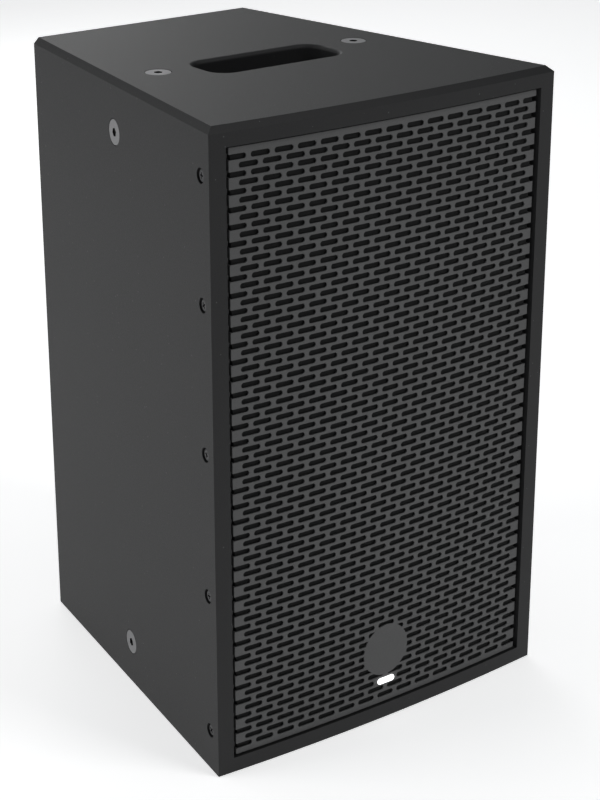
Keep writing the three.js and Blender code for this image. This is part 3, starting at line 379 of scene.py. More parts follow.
class Finish:
    """A material in the making: its shader's inputs, and short calls for the nodes that feed them."""

    def __init__(self, name, tone, roughness, metallic=0.0):
        self.material = bpy.data.materials.new(name)
        self.material.use_nodes = True
        self.tree = self.material.node_tree
        self.inputs = self.tree.nodes["Principled BSDF"].inputs
        self.inputs["Base Color"].default_value = (*tone, 1)
        self.inputs["Roughness"].default_value = roughness
        self.inputs["Metallic"].default_value = metallic
        self.place = self.add("TexCoord").outputs["Object"]

    def add(self, kind, **values):
        """A node whose inputs or settings take these values."""
        node = self.tree.nodes.new("ShaderNode" + kind)
        for key, value in values.items():
            if key in node.inputs:
                node.inputs[key].default_value = value
            else:
                setattr(node, key, value)
        return node

    def link(self, source, *targets):
        for target in targets:
            self.tree.links.new(source, target)

    def feed(self, source, *names):
        """Links a source to the shader's inputs of these names."""
        self.link(source, *(self.inputs[name] for name in names))

    def pattern(self, kind, stretch=None, **values):
        """A texture on the object's coordinates, stretched if asked."""
        node = self.add("Tex" + kind, **values)
        place = self.place
        if stretch:
            turn = self.add("Mapping", Scale=stretch)
            self.link(place, turn.inputs["Vector"])
            place = turn.outputs["Vector"]
        self.link(place, node.inputs["Vector"])
        return node

    def noise(self, scale, detail=2.0, roughness=0.5, stretch=None):
        return self.pattern("Noise", stretch, Scale=scale, Detail=detail, Roughness=roughness).outputs["Fac"]

    def ramp(self, value, low, first, high, last):
        """Runs from one grey or colour at low to another at high."""
        node = self.add("ValToRGB")
        for point, position, colour in zip(node.color_ramp.elements, (low, high), (first, last)):
            point.position = position
            point.color = (*colour, 1) if isinstance(colour, tuple) else (colour, colour, colour, 1)
        self.link(value, node.inputs["Fac"])
        return node.outputs["Color"]

    def tint(self, value, tone, dark, pale, low=0.3, high=0.7):
        """The tone, times dark where value is low and times pale where it is high."""
        return self.ramp(value, low, shade(tone, dark), high, shade(tone, pale))

    def gloss(self, value, low, smooth, high, rough):
        self.feed(self.ramp(value, low, smooth, high, rough), "Roughness")

    def bump(self, height, strength, distance):
        node = self.add("Bump", Strength=strength, Distance=distance)
        self.link(height, node.inputs["Height"])
        self.feed(node.outputs["Normal"], "Normal")

    def calculate(self, operation, first, second):
        """A sum on a socket and a second socket or number."""
        node = self.add("Math", operation=operation)
        self.link(first, node.inputs[0])
        if isinstance(second, float):
            node.inputs[1].default_value = second
        else:
            self.link(second, node.inputs[1])
        return node.outputs[0]

    def painted_glints(self, scale, size, share):
        """Painted glints: white where a small speck lies, one speck at most in each cell, in a share of the
        cells.
        """
        cells = self.pattern("Voronoi", Scale=scale)
        near = self.calculate("LESS_THAN", cells.outputs["Distance"], size)
        parts = self.add("SeparateColor")
        self.link(cells.outputs["Color"], parts.inputs["Color"])
        chosen = self.calculate("LESS_THAN", parts.outputs["Red"], share)
        return self.calculate("MULTIPLY", near, chosen)

    def mix(self, share, first, second):
        """Mixes two colours, each a socket or a fixed tone, by a socket or a fixed share."""
        node = self.add("Mix", data_type="RGBA")
        colours = [s for s in node.inputs if s.type == "RGBA"]
        for socket, value in zip((node.inputs["Factor"], *colours), (share, first, second)):
            if isinstance(value, tuple):
                socket.default_value = (*value, 1)
            elif isinstance(value, float):
                socket.default_value = value
            else:
                self.link(value, socket)
        return [s for s in node.outputs if s.type == "RGBA"][0]


def coat_finish(name, tone, roughness, grain, depth, painted_glints=0.0):
    """Sprayed coat: fine grain in the surface, slight tone drift and, if asked, sparse pale specks painted
    in as glints of the textured paint.
    """
    finish = Finish(name, tone, roughness)
    finish.inputs["Specular IOR Level"].default_value = 0.25
    fine = finish.noise(grain, 3.0, 0.6)
    drift = finish.tint(finish.noise(9.0), tone, 0.94, 1.06)
    grit = finish.tint(fine, tone, 0.7, 1.35, 0.35, 0.68)
    colour = finish.mix(0.5, drift, grit)
    if painted_glints:
        # pale specks painted into the colour as glints of the textured paint
        colour = finish.mix(finish.painted_glints(130.0, 0.075, painted_glints), colour, shade(tone, 3.4))
    finish.feed(colour, "Base Color")
    finish.gloss(fine, 0.25, roughness - 0.07, 0.75, roughness + 0.09)
    finish.bump(fine, 0.5, depth)
    return finish.material


def moulded_finish(name, tone, roughness=0.5, grain=2600.0, depth=0.04 * MM):
    """Injection-moulded plastic with a spark-eroded grain."""
    finish = Finish(name, tone, roughness)
    fine = finish.noise(grain)
    finish.feed(finish.tint(finish.noise(30.0), tone, 0.88, 1.12), "Base Color")
    finish.gloss(fine, 0.3, roughness - 0.06, 0.7, roughness + 0.08)
    finish.bump(fine, 0.35, depth)
    return finish.material


def metal_finish(name, tone, roughness, stretch=(1.0, 1.0, 1.0), scale=900.0):
    """Metal with fine turning or drawing marks; stretch sets the marks' direction."""
    finish = Finish(name, tone, roughness, 1.0)
    marks = finish.noise(scale, 3.0, 0.6, stretch)
    finish.feed(finish.tint(finish.noise(60.0), tone, 0.95, 1.05), "Base Color")
    finish.gloss(marks, 0.25, roughness - 0.08, 0.75, roughness + 0.12)
    finish.bump(marks, 0.2, 0.02 * MM)
    return finish.material


def foam_finish(name, tone):
    """Open-cell foam: small dark cells between paler ribs, the cells darkened as painted shade in the pores.
    """
    finish = Finish(name, tone, 0.95)
    cells = finish.pattern("Voronoi", Scale=1100.0).outputs["Distance"]
    # darker where the bump is low: painted shade in the foam's pores
    colour = finish.tint(cells, tone, 0.6, 1.3, 0.1, 0.6)
    drift = finish.tint(finish.noise(70.0), tone, 0.8, 1.15)
    finish.feed(finish.mix(0.35, colour, drift), "Base Color")
    finish.inputs["Sheen Weight"].default_value = 0.1
    finish.bump(cells, 0.4, 0.15 * MM)
    return finish.material


def lamp_finish(name, tone, roughness, strength, scale, dimmest, low=0.3, high=0.7):
    """A surface that gives off light of its own, with a slight cloud in its tone."""
    finish = Finish(name, tone, roughness)
    colour = finish.tint(finish.noise(scale), tone, dimmest, 1.0, low, high)
    finish.feed(colour, "Base Color", "Emission Color")
    finish.inputs["Emission Strength"].default_value = strength
    return finish.material


def board_finish(name, tone):
    """Circuit board: solder resist with faint copper tracks under it."""
    finish = Finish(name, tone, 0.4)
    grid_lines = finish.pattern("Brick", Scale=160.0)
    for key, factor in (("Color1", 1.0), ("Color2", 0.8), ("Mortar", 1.5)):
        grid_lines.inputs[key].default_value = (*shade(tone, factor), 1)
    finish.feed(grid_lines.outputs["Color"], "Base Color")
    finish.bump(grid_lines.outputs["Fac"], 0.3, 0.03 * MM)
    return finish.material


def wood_finish(name, tone):
    """Stained plywood with stretched grain."""
    finish = Finish(name, tone, 0.75)
    grain = finish.noise(24.0, 6.0, 0.6, (1.0, 1.0, 14.0))
    finish.feed(finish.tint(grain, tone, 0.6, 1.4), "Base Color")
    finish.bump(grain, 0.3, 0.2 * MM)
    return finish.material


def pulp_finish(name, tone):
    """Pressed paper pulp: matte, with short fibres."""
    finish = Finish(name, tone, 0.85)
    fibres = finish.noise(420.0, 6.0, 0.75)
    finish.feed(finish.tint(fibres, tone, 0.7, 1.4), "Base Color")
    finish.bump(fibres, 0.5, 0.15 * MM)
    return finish.material


FINISHES = {}


def make_finishes():
    """Every finish of the cabinet, by slot, and the finish of every part of the frame."""
    scene = bpy.context.scene
    paint = tuple(scene.cabinet_settings.paint_tone)
    steel = tuple(scene.cabinet_settings.steel_tone)
    grille = tuple(scene.grille_settings.tone)
    looks = {
        # the last number is the share of cells that get painted glints
        "textured_paint": (coat_finish, paint, 0.56, 1100.0, 0.2 * MM, 0.5),
        "grille_paint": (coat_finish, grille, 0.5, 3200.0, 0.03 * MM),
        "acoustic_foam": (foam_finish, (0.004, 0.004, 0.004)),
        "light_pipe": (lamp_finish, (1.0, 1.0, 1.0), 0.35, 1.6, 500.0, 0.97, 0.2, 0.8),
        "circuit_board": (board_finish, (0.02, 0.11, 0.05)),
        "screw_steel": (metal_finish, (0.06, 0.06, 0.062), 0.42),
        # near-black finish for screw recesses: partly dark oxide, partly painted shade
        "socket_shade": (coat_finish, (0.002, 0.002, 0.002), 0.8, 2400.0, 0.01 * MM),
        "latch_steel": (metal_finish, (0.5, 0.5, 0.51), 0.35),
        "rigging_steel": (coat_finish, steel, 0.5, 2400.0, 0.02 * MM),
        "dark_steel": (coat_finish, (0.03, 0.03, 0.033), 0.45, 2000.0, 0.05 * MM),
        "moulded_plastic": (moulded_finish, (0.018, 0.018, 0.02)),
        "control_plastic": (moulded_finish, (0.02, 0.02, 0.022), 0.42),
        "anodised_aluminium": (metal_finish, (0.06, 0.061, 0.065), 0.42, (1.0, 1.0, 0.04), 1800.0),
        "ferrite": (coat_finish, (0.03, 0.03, 0.032), 0.6, 900.0, 0.06 * MM),
        "rubber": (moulded_finish, (0.012, 0.012, 0.013), 0.7, 800.0, 0.05 * MM),
        "cone_pulp": (pulp_finish, (0.02, 0.02, 0.022)),
        "copper_wire": (metal_finish, (0.72, 0.33, 0.15), 0.35, (1.0, 12.0, 1.0), 700.0),
        "stained_plywood": (wood_finish, (0.03, 0.027, 0.025)),
        "pale_mark": (moulded_finish, (0.42, 0.42, 0.41)),
    }
    for name, (make, *values) in looks.items():
        FINISHES[name] = make(name, *values)
    for part in frame["record"]["subparts"]:
        coat(frame["nodes"][part["node"]], part["material_slot"])


# ---- painted box
HANDLE_CORNER = 14 * MM
HANDLE_REACH = 30 * MM
PAST = 30 * MM
POLE_HOLE_R = 21.2 * MM
# radius, height, the middle's distance out from the wall, sides, and radius at the mouth, of each cutter
PAN_RECESS = ((5.6 * MM, 8 * MM, 0.6 * MM, 28, None),)
SUNK_RECESS = ((10.25 * MM, 4 * MM, 0.4 * MM, 48, None), (5.4 * MM, 5 * MM, -4.05 * MM, 48, 10.2 * MM))


def plan_block(y_front, y_rear, z_low, z_high, inset=0.0, bow=0.0, cuts=0):
    """A block with the cabinet's tapered plan, its front bowed forward."""
    block = cube(1, y_rear - y_front, z_high - z_low, (0, (y_front + y_rear) / 2, (z_low + z_high) / 2))
    if cuts:
        pick(block, "EDGE", lambda e: along(e, 0))
        bpy.ops.mesh.subdivide(number_cuts=cuts)
        leave()
    for v in block.data.vertices:
        v.co.x *= 2 * (half_at(v.co.y) - inset)
        if v.co.y < y_front + WELD:
            v.co.y -= bow * (1 - (v.co.x / HALF_FRONT) ** 2)
    return block


def handle_sizes():
    """Middle, length and width of the handle opening, from its rim in the top panel."""
    middle_y = centre_of("handle_cup").y
    rim = [
        v.co for v in frame["nodes"]["top_panel"].data.vertices
        if v.co.z > TOP - WELD and abs(v.co.x) < HALF_REAR * 0.7 and abs(v.co.y - middle_y) < HANDLE_REACH
    ]
    length = 2 * max(p.x for p in rim)
    width = 2 * max(abs(p.y - middle_y) for p in rim)
    return middle_y, length, width


def screw_nodes(start):
    return sorted(n for n in frame["nodes"] if n.startswith(start))


def wall_point(node):
    """Where a screw's axis meets the outside of its wall, and the wall's outward direction."""
    at = centre_of(node)
    if "top" in node:
        return Vector((at.x, at.y, TOP)), Vector((0, 0, 1))
    side = 1 if at.x > 0 else -1
    normal = Vector((side * math.cos(TAPER), math.sin(TAPER), 0))
    wall = Vector((side * HALF_FRONT, CORNER_Y, at.z))
    step = (wall - at).dot(normal)
    return at + normal * step, normal


def screw_cutters():
    """What is cut from the walls for the heads of the grille screws and the rigging screws."""
    cutters = []
    for start, recess in (("grille_screw", PAN_RECESS), ("rigging_screw", SUNK_RECESS)):
        for node in screw_nodes(start):
            at, normal = wall_point(node)
            for radius, height, out, sides, mouth in recess:
                cutters.append(drum(radius, height, at + normal * out, normal, sides, mouth))
    return cutters


def painted_shell():
    """The glued and painted box: chamfered top, bowed front edges, handle opening and screw recesses."""
    sizes = bpy.context.scene.cabinet_settings
    shell = plan_block(CORNER_Y, REAR_Y, 0, TOP, bow=BOW, cuts=31)

    def top_edge(edge):
        a, b = (v.co for v in edge.verts)
        level = a.z > TOP - WELD and b.z > TOP - WELD
        rear = a.y > REAR_Y - WELD and b.y > REAR_Y - WELD
        inner = a.y * b.y < 0 and abs(a.x) < half_at(a.y) - WELD
        return level and not rear and not inner

    bevel(shell, sizes.chamfer, 1, top_edge)
    hollow = plan_block(CORNER_Y - PAST, REAR_Y + PAST, FLOOR_INNER, TOP_INNER, inset=WALL_X)
    boolean(shell, hollow)
    middle_y, length, width = handle_sizes()
    opening = cube(length, width, 80 * MM, (0, middle_y, TOP))
    boolean(shell, bevel(opening, HANDLE_CORNER, 8, lambda e: along(e, 2)))

    def rim_edge(edge):
        at = middle(edge)
        near = abs(at.x) < length / 2 + WELD and abs(at.y - middle_y) < width / 2 + WELD
        return near and all(v.co.z > TOP - WELD for v in edge.verts) and any(
            f.normal.z < 0.5 for f in edge.link_faces)

    bevel(shell, sizes.handle_round, 6, rim_edge)
    soften(shell, sizes.edge_round, 3)
    pole = centre_of("pole_socket")
    pole_hole = drum(POLE_HOLE_R, 60 * MM, (pole.x, pole.y, 0), sides=64)
    boolean(shell, join([pole_hole, *screw_cutters()]))
    outward(shell)
    panels = ("top_panel", "bottom_panel", "side_panel_left", "side_panel_right")
    finish_piece(shell, "painted_box", "textured_paint", *panels)


class CABINET_OT_box(bpy.types.Operator):
    """Build the painted wooden box"""

    bl_idname = "cabinet.box"
    bl_label = "Painted box"

    def execute(self, context):
        painted_shell()
        return {"FINISHED"}


# ---- grille
SLOT_SIDES = 12
FLANGE_INSET = 0.6 * MM
FOAM_THICKNESS = 3.5 * MM
FOAM_SETBACK = 0.15 * MM
LENS_DEPTH = 0.8 * MM


def slot_cell(sizes):
    """One flat cell: a slot with round ends in a rectangle that matches its neighbours' vertices."""
    cell = grid(sizes.pitch, sizes.row, 4, 2)
    pick(cell, "VERT", lambda v: abs(v.co.x) < 0.49 * sizes.pitch and abs(v.co.y) < 0.1 * sizes.row)
    bpy.ops.mesh.delete(type="VERT")
    end = sizes.slot_height / 2
    step = math.pi / SLOT_SIDES
    bpy.ops.mesh.primitive_circle_add(
        vertices=SLOT_SIDES, radius=end / math.cos(step), location=(0, 0, 0), rotation=(0, 0, step))
    form = bmesh.from_edit_mesh(cell.data)
    shift = sizes.slot_length / 2 - end
    for v in form.verts:
        if v.select:
            v.co.x += shift if v.co.x > 0 else -shift
    bmesh.update_edit_mesh(cell.data)
    bpy.ops.mesh.select_mode(type="EDGE")
    bpy.ops.mesh.select_all(action="SELECT")
    bpy.ops.mesh.bridge_edge_loops()
    leave()
    return cell


def plain_half_cells(sizes, first_y, rows):
    """The unslotted half cells at both ends of the narrow rows."""
    x = (sizes.columns // 2 + 0.25) * sizes.pitch
    strips = [grid(sizes.pitch / 2, sizes.row, 2, 2, (side * x, first_y, 0)) for side in (-1, 1)]
    return [repeated(strip, rows, (0, 2 * sizes.row, 0)) for strip in strips]


def fill_disc(sheet, sizes, bottom_row):
    """Closes the slots inside the plain disc: a patch of cells is joined with a solid disc and sewn back."""
    y_disc = LIGHT_Z + sizes.disc_rise

    def in_patch(face):
        at = middle(face)
        row = round((at.y - bottom_row) / sizes.row)
        reach = 1.5 if row % 2 == 0 else 2.0
        near = abs(bottom_row + row * sizes.row - y_disc) < sizes.disc_radius + 0.5 * sizes.row
        return near and abs(at.x) < reach * sizes.pitch

    pick(sheet, "FACE", in_patch)
    bpy.ops.mesh.separate(type="SELECTED")
    leave()
    patch = [o for o in bpy.context.selected_objects if o is not sheet][0]
    modify(patch, "SOLIDIFY", thickness=sizes.thickness, offset=-1.0)
    disc = drum(sizes.disc_radius, sizes.thickness, (0, y_disc, -sizes.thickness / 2), sides=72)
    boolean(patch, disc, "UNION")
    pick(patch, "FACE", lambda f: f.normal.z < 0.9 or abs(middle(f).z) > WELD)
    bpy.ops.mesh.delete(type="FACE")
    leave()
    return weld(join([sheet, patch]))


def flat_sheet(sizes):
    """The slotted sheet before bending, lying flat: x across and y up."""
    bottom_row = LIGHT_Z - 2 * sizes.row
    half = sizes.columns // 2
    wide = slot_cell(sizes)
    start = (-(half - 0.5) * sizes.pitch, bottom_row + sizes.row, 0)
    narrow = copy_to(wide, "narrow", Matrix.Translation(start))
    wide.data.transform(Matrix.Translation((-half * sizes.pitch, bottom_row, 0)))
    wide_rows = (sizes.rows + 1) // 2
    narrow_rows = sizes.rows - wide_rows
    for cell, columns, rows in ((wide, sizes.columns, wide_rows), (narrow, sizes.columns - 1, narrow_rows)):
        repeated(cell, columns, (sizes.pitch, 0, 0))
        repeated(cell, rows, (0, 2 * sizes.row, 0))
    ends = plain_half_cells(sizes, bottom_row + sizes.row, narrow_rows)
    sheet = fill_disc(weld(join([wide, narrow, *ends])), sizes, bottom_row)
    low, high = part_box("grille")
    last_row = bottom_row + (sizes.rows - 1) * sizes.row
    for target, edge in ((high.z, last_row + 0.5 * sizes.row), (low.z, bottom_row - 0.5 * sizes.row)):
        pick(sheet, "EDGE", lambda e: all(abs(v.co.y - edge) < WELD for v in e.verts))
        bpy.ops.mesh.extrude_region_move(TRANSFORM_OT_translate={"value": (0, target - edge, 0)})
        leave()
    for side in (-1, 1):
        pick_all(sheet)
        bpy.ops.mesh.bisect(plane_co=(side * high.x, 0, 0), plane_no=(side, 0, 0), clear_outer=True)
        leave()
    return sheet


def grille_flange(side, sizes):
    """The strip folded back behind one side edge, where the side screws hold it."""
    low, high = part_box("grille")
    start = GRILLE_FRONT + BOW * (high.x / HALF_FRONT) ** 2 + sizes.thickness
    x = side * (high.x - sizes.thickness / 2 - FLANGE_INSET)
    centre = (x, (high.y + start) / 2, (high.z + low.z) / 2)
    strip = cube(sizes.thickness, high.y - start, high.z - low.z, centre)
    notch = cube(9 * MM, 6 * MM, sizes.slot_height, (x, start, LIGHT_Z - 2 * sizes.row))
    boolean(strip, repeated(notch, (sizes.rows + 1) // 2, (0, 0, 2 * sizes.row)))
    return soften(strip, 0.2 * MM, 1)


def slotted_grille():
    """The bowed, slotted steel grille."""
    sizes = bpy.context.scene.grille_settings
    sheet = outward(flat_sheet(sizes))
    modify(sheet, "SOLIDIFY", thickness=sizes.thickness, offset=-1.0)
    for v in sheet.data.vertices:
        x, up, out = v.co
        v.co = (x, GRILLE_FRONT + BOW * (x / HALF_FRONT) ** 2 - out, up)
    sheet.data.update()
    sheet = outward(join([sheet, grille_flange(-1, sizes), grille_flange(1, sizes)]))
    finish_piece(sheet, "slotted_grille", "grille_paint", "grille", weighted=False)


def foam_sheet():
    """The dark foam behind the slots, following the grille's bow and holed for the light."""
    low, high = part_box("grille_foam")
    foam = grid(high.x - low.x, high.z - low.z, 80, 120)
    for v in foam.data.vertices:
        x, up, _ = v.co
        v.co = (x, low.y + BOW * (x / HALF_FRONT) ** 2 + FOAM_SETBACK, up + (low.z + high.z) / 2)
    foam.data.update()
    modify(foam, "SOLIDIFY", thickness=FOAM_THICKNESS, offset=-1.0)
    if max(v.co.y for v in foam.data.vertices) < low.y + BOW + 1 * MM:
        raise RuntimeError("the foam went forward instead of back")
    outward(foam)
    light_low, light_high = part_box("status_light_pipe")
    size = light_high - light_low
    boolean(foam, rounded_pill(size.x - 0.4 * MM, size.z - 0.2 * MM, 60 * MM, (0, low.y, LIGHT_Z)))
    finish_piece(foam, "foam_sheet", "acoustic_foam", "grille_foam")


def rounded_pill(length, height, depth, centre):
    """A bar with full round ends, lying along X with its depth along Y."""
    bar = cube(length, depth, height, centre)
    return bevel(bar, height / 2 * 0.995, 6, lambda e: along(e, 1))


def status_light():
    """The lit lens and its stem through the grille."""
    low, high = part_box("status_light_pipe")
    size = high - low
    lens = rounded_pill(size.x, size.z, LENS_DEPTH, (0, low.y + LENS_DEPTH / 2, LIGHT_Z))
    bevel(lens, 0.3 * MM, 3, lambda e: max(v.co.y for v in e.verts) < low.y + WELD)
    centre = (0, (low.y + high.y) / 2 + 0.1 * MM, LIGHT_Z)
    stem = rounded_pill(size.x - 1.8 * MM, size.z - 1.6 * MM, size.y - 0.2 * MM, centre)
    boolean(lens, stem, "UNION")
    finish_piece(lens, "status_light", "light_pipe", "status_light_pipe")


class CABINET_OT_grille(bpy.types.Operator):
    """Build the slotted grille, the foam behind it and the status light"""

    bl_idname = "cabinet.grille"
    bl_label = "Grille, foam and light"

    def execute(self, context):
        slotted_grille()
        foam_sheet()
        status_light()
        return {"FINISHED"}


# ---- screws
PAN_RISE = 2.2 * MM


def rigging_screw_shape():
    """A countersunk screw with a hexagon socket, its flush face at the origin facing up."""
    head = drum(9.7 * MM, 1.0 * MM, (0, 0, -0.5 * MM), sides=48)
    cone = drum(5.0 * MM, 4.7 * MM, (0, 0, -3.3 * MM), sides=48, top_radius=9.6 * MM)
    shank = drum(4.9 * MM, 20 * MM, (0, 0, -15.4 * MM), sides=32)
    for piece in (cone, shank):
        boolean(head, piece, "UNION")
    boolean(head, drum(3.5 * MM, 18 * MM, (0, 0, -0.5 * MM), sides=6))
    return soften(head, 0.25 * MM, 2)


def grille_screw_shape():
    """A pan-head screw with a cross recess; its head's foot is at the origin and it faces up."""
    head = drum(4.85 * MM, PAN_RISE, (0, 0, PAN_RISE / 2), sides=32)
    bevel(head, 1.3 * MM, 4, lambda e: min(v.co.z for v in e.verts) > PAN_RISE - WELD)
    for angle in (0, math.pi / 2):
        blade = cube(4.6 * MM, 1.0 * MM, 3 * MM, (0, 0, PAN_RISE + 0.1 * MM))
        blade.data.transform(Matrix.Rotation(angle, 4, "Z"))
        boolean(head, blade)
    boolean(head, drum(2.4 * MM, 16 * MM, (0, 0, -7.5 * MM), sides=20), "UNION")
    return soften(head, 0.12 * MM, 1)


def paint_recess_shade(piece, place, radius, mouth):
    """Gives a darker finish to the faces of a driving recess, near the axis and below its mouth: partly the
    socket's own dark oxide, partly painted shade in the recess.
    """
    piece.data.materials.append(FINISHES["socket_shade"])
    back = place.inverted()
    for face in piece.data.polygons:
        at = back @ face.center
        if math.hypot(at.x, at.y) < radius and at.z < mouth:
            face.material_index = 1


def place_screws(start, shape, slot, sink, turn, recess_radius, mouth):
    """Sets a copy of a screw in each of its recesses, each turned a bit further than the last."""
    for index, node in enumerate(screw_nodes(start)):
        at, normal = wall_point(node)
        place = facing(normal, at - normal * sink) @ Matrix.Rotation(index * turn, 4, "Z")
        piece = copy_to(shape, node + "_detailed", place)
        finish_piece(piece, node + "_detailed", slot, node)
        # painted shade in the driving recess, together with the socket's dark oxide
        paint_recess_shade(piece, place, recess_radius, mouth)
    bpy.data.objects.remove(shape)


class CABINET_OT_screws(bpy.types.Operator):
    """Set the grille screws and the rigging screws"""

    bl_idname = "cabinet.screws"
    bl_label = "Screws"

    def execute(self, context):
        place_screws(
            "rigging_screw", rigging_screw_shape(), "rigging_steel",
            sink=0.1 * MM, turn=0.35, recess_radius=3.6 * MM, mouth=-0.3 * MM)
        place_screws(
            "grille_screw", grille_screw_shape(), "screw_steel",
            sink=3.2 * MM, turn=0.6, recess_radius=2.5 * MM, mouth=2.1 * MM)
        return {"FINISHED"}


# ---- handle pocket and pole socket
CUP_WALL = 3 * MM
CUP_SPREAD = 6 * MM
POLE_BORE_R = 17.9 * MM
POLE_WALL = 3 * MM
POLE_RIBS = 6
SEAT_GAP = 0.3 * MM


def handle_pocket():
    """The moulded pocket under the handle opening."""
    low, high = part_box("handle_cup")
    middle_y, length, width = handle_sizes()
    inner_x, inner_y = length + 2 * CUP_SPREAD, width + 2 * CUP_SPREAD
    depth = high.z - low.z - CUP_WALL
    cup = cube(inner_x, inner_y, depth, (0, middle_y, high.z - depth / 2))
    bevel(cup, 20 * MM, 8, lambda e: along(e, 2))
    bevel(cup, 12 * MM, 6, lambda e: max(v.co.z for v in e.verts) < low.z + CUP_WALL + WELD)
    pick(cup, "FACE", lambda f: f.normal.z > 0.9 and middle(f).z > high.z - WELD)
    bpy.ops.mesh.delete(type="ONLY_FACE")
    pick(cup, "EDGE", lambda e: len(e.link_faces) == 1)
    bpy.ops.mesh.extrude_region_move()
    spread = ((high.x - low.x) / inner_x, (high.y - low.y) / inner_y, 1)
    bpy.ops.transform.resize(value=spread, center_override=(0, middle_y, high.z))
    leave()
    modify(outward(cup), "SOLIDIFY", thickness=CUP_WALL, offset=-1.0)
    top = max(v.co.z for v in cup.data.vertices)
    cup.data.transform(Matrix.Translation((0, 0, high.z - top)))
    finish_piece(outward(cup), "handle_pocket", "moulded_plastic", "handle_cup")


def pole_cup():
    """The pole socket: a smooth tube with a closed end, a flange and ribs."""
    low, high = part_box("pole_socket")
    at = (low + high) / 2
    height = high.z - low.z
    flange = (high.x - low.x) / 2
    lip = FLOOR_INNER + SEAT_GAP
    tube = drum(POLE_BORE_R + POLE_WALL, height, at, sides=64)
    boolean(tube, drum(flange, 3 * MM, (at.x, at.y, lip + 1.5 * MM), sides=64), "UNION")
    for index in range(POLE_RIBS):
        rib = cube(flange * 2 - 10 * MM, 2.4 * MM, 22 * MM, (at.x, at.y, lip + 13 * MM))
        rib.data.transform(turned_at((at.x, at.y, 0), index * math.pi / POLE_RIBS))
        boolean(tube, rib, "UNION")
    boolean(tube, drum(POLE_BORE_R, height, (at.x, at.y, at.z - POLE_WALL), sides=64))
    soften(tube, 0.5 * MM, 2)
    finish_piece(tube, "pole_cup", "moulded_plastic", "pole_socket")


class CABINET_OT_pockets(bpy.types.Operator):
    """Build the handle pocket and the pole socket"""

    bl_idname = "cabinet.pockets"
    bl_label = "Handle pocket and pole socket"

    def execute(self, context):
        handle_pocket()
        pole_cup()
        return {"FINISHED"}


# ---- amplifier panel
# distances in the plate's direction are counted from its face, outwards
CUT_PAST = 9 * MM
FITTING_GAP = 0.3 * MM
PRINT_LINE = 0.5 * MM
PRINT_DEPTH = 0.12 * MM
PRINT_Y = AMP_FACE + 0.03 * MM
GROUP_WIDTH = 128 * MM
PLATE_SCREW_INSET = 5 * MM
PLATE_SCREW_SCALE = 0.62
KNOB_SWEEP = math.radians(150)
FIN_COUNT = 12
FIN_WIDTH = 2 * MM
FIN_INSET = 1.5 * MM
SOCKET_RISE = 3.6 * MM
SOCKET_BORE_R = 9.75 * MM
SOCKET_BARREL_R = 11.3 * MM
SOCKET_SCREW_SCALE = 0.52
JACK_BORE_R = 3.4 * MM
JACK_DEPTH = 21 * MM
PIN_FRONT = -6 * MM
BUTTON_DISH = 0.35 * MM
INLET_SCREW_X = 19 * MM
INLET_SCREW_SCALE = 0.6
BLADE_PITCH = 7 * MM
ROCKER_HALF = 10.4 * MM
ROCKER_VALLEY = 1.7 * MM
ROCKER_PIVOT = 5 * MM
ROCKER_TILT = math.radians(-7)


def span_of(node):
    """The middle and the size of a part's box, and how far it lies before and behind the plate's face."""
    low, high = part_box(node)
    return (low + high) / 2, high - low, low.y - AMP_FACE, high.y - AMP_FACE


def rear_block(width, height, x, z, inner, outer, radius=0.0, segments=5):
    """A block on the amplifier plate, from one distance behind its face to another."""
    block = cube(width, outer - inner, height, (x, AMP_FACE + (inner + outer) / 2, z))
    return bevel(block, radius, segments, lambda e: along(e, 1)) if radius else block


def rear_drum(radius, x, z, inner, outer, sides=48, top_radius=None):
    """A round piece on the amplifier plate, from one distance behind its face to another."""
    return drum(radius, outer - inner, (x, AMP_FACE + (inner + outer) / 2, z), (0, 1, 0), sides, top_radius)


def rear_edge(outer):
    """A test for the edges of a piece that lie at a distance from the plate's face."""
    return lambda e: min(v.co.y for v in e.verts) > AMP_FACE + outer - WELD


def rear_screws(shape, places, rise, scale):
    """Copies of a screw, facing back, at (x, z) places."""
    screws = []
    for index, (x, z) in enumerate(places):
        turn = Matrix.Rotation(0.7 * index, 4, "Z")
        place = facing((0, 1, 0), (x, AMP_FACE + rise, z)) @ turn @ Matrix.Scale(scale, 4)
        screws.append(coat(copy_to(shape, "screw", place), "screw_steel"))
    return screws


def mark(width, height, x, z, turn=0.0, depth=PRINT_DEPTH, y=PRINT_Y):
    """A thin pale printed mark; turn is about its own middle, in the plate's plane."""
    bar = cube(width, depth, height, (0, 0, 0))
    bar.data.transform(Matrix.Translation((x, y, z)) @ Matrix.Rotation(turn, 4, "Y"))
    return coat(bar, "pale_mark")


def dial_marks(x, z, radius, count):
    """Short ticks round a knob, the first and last at the ends of its sweep."""
    ticks = []
    for index in range(count):
        angle = KNOB_SWEEP * (2 * index / (count - 1) - 1)
        height = 2.6 * MM if index in (0, count // 2, count - 1) else 1.7 * MM
        across, up = radius * math.sin(angle), radius * math.cos(angle)
        ticks.append(mark(PRINT_LINE, height, x + across, z + up, angle))
    return ticks


def printed_frame(height, z):
    """A thin printed outline round a group of fittings."""
    bars = []
    for side in (-1, 1):
        bars.append(mark(GROUP_WIDTH, PRINT_LINE, 0, z + side * height / 2))
        bars.append(mark(PRINT_LINE, height + PRINT_LINE, side * GROUP_WIDTH / 2, z))
    return bars


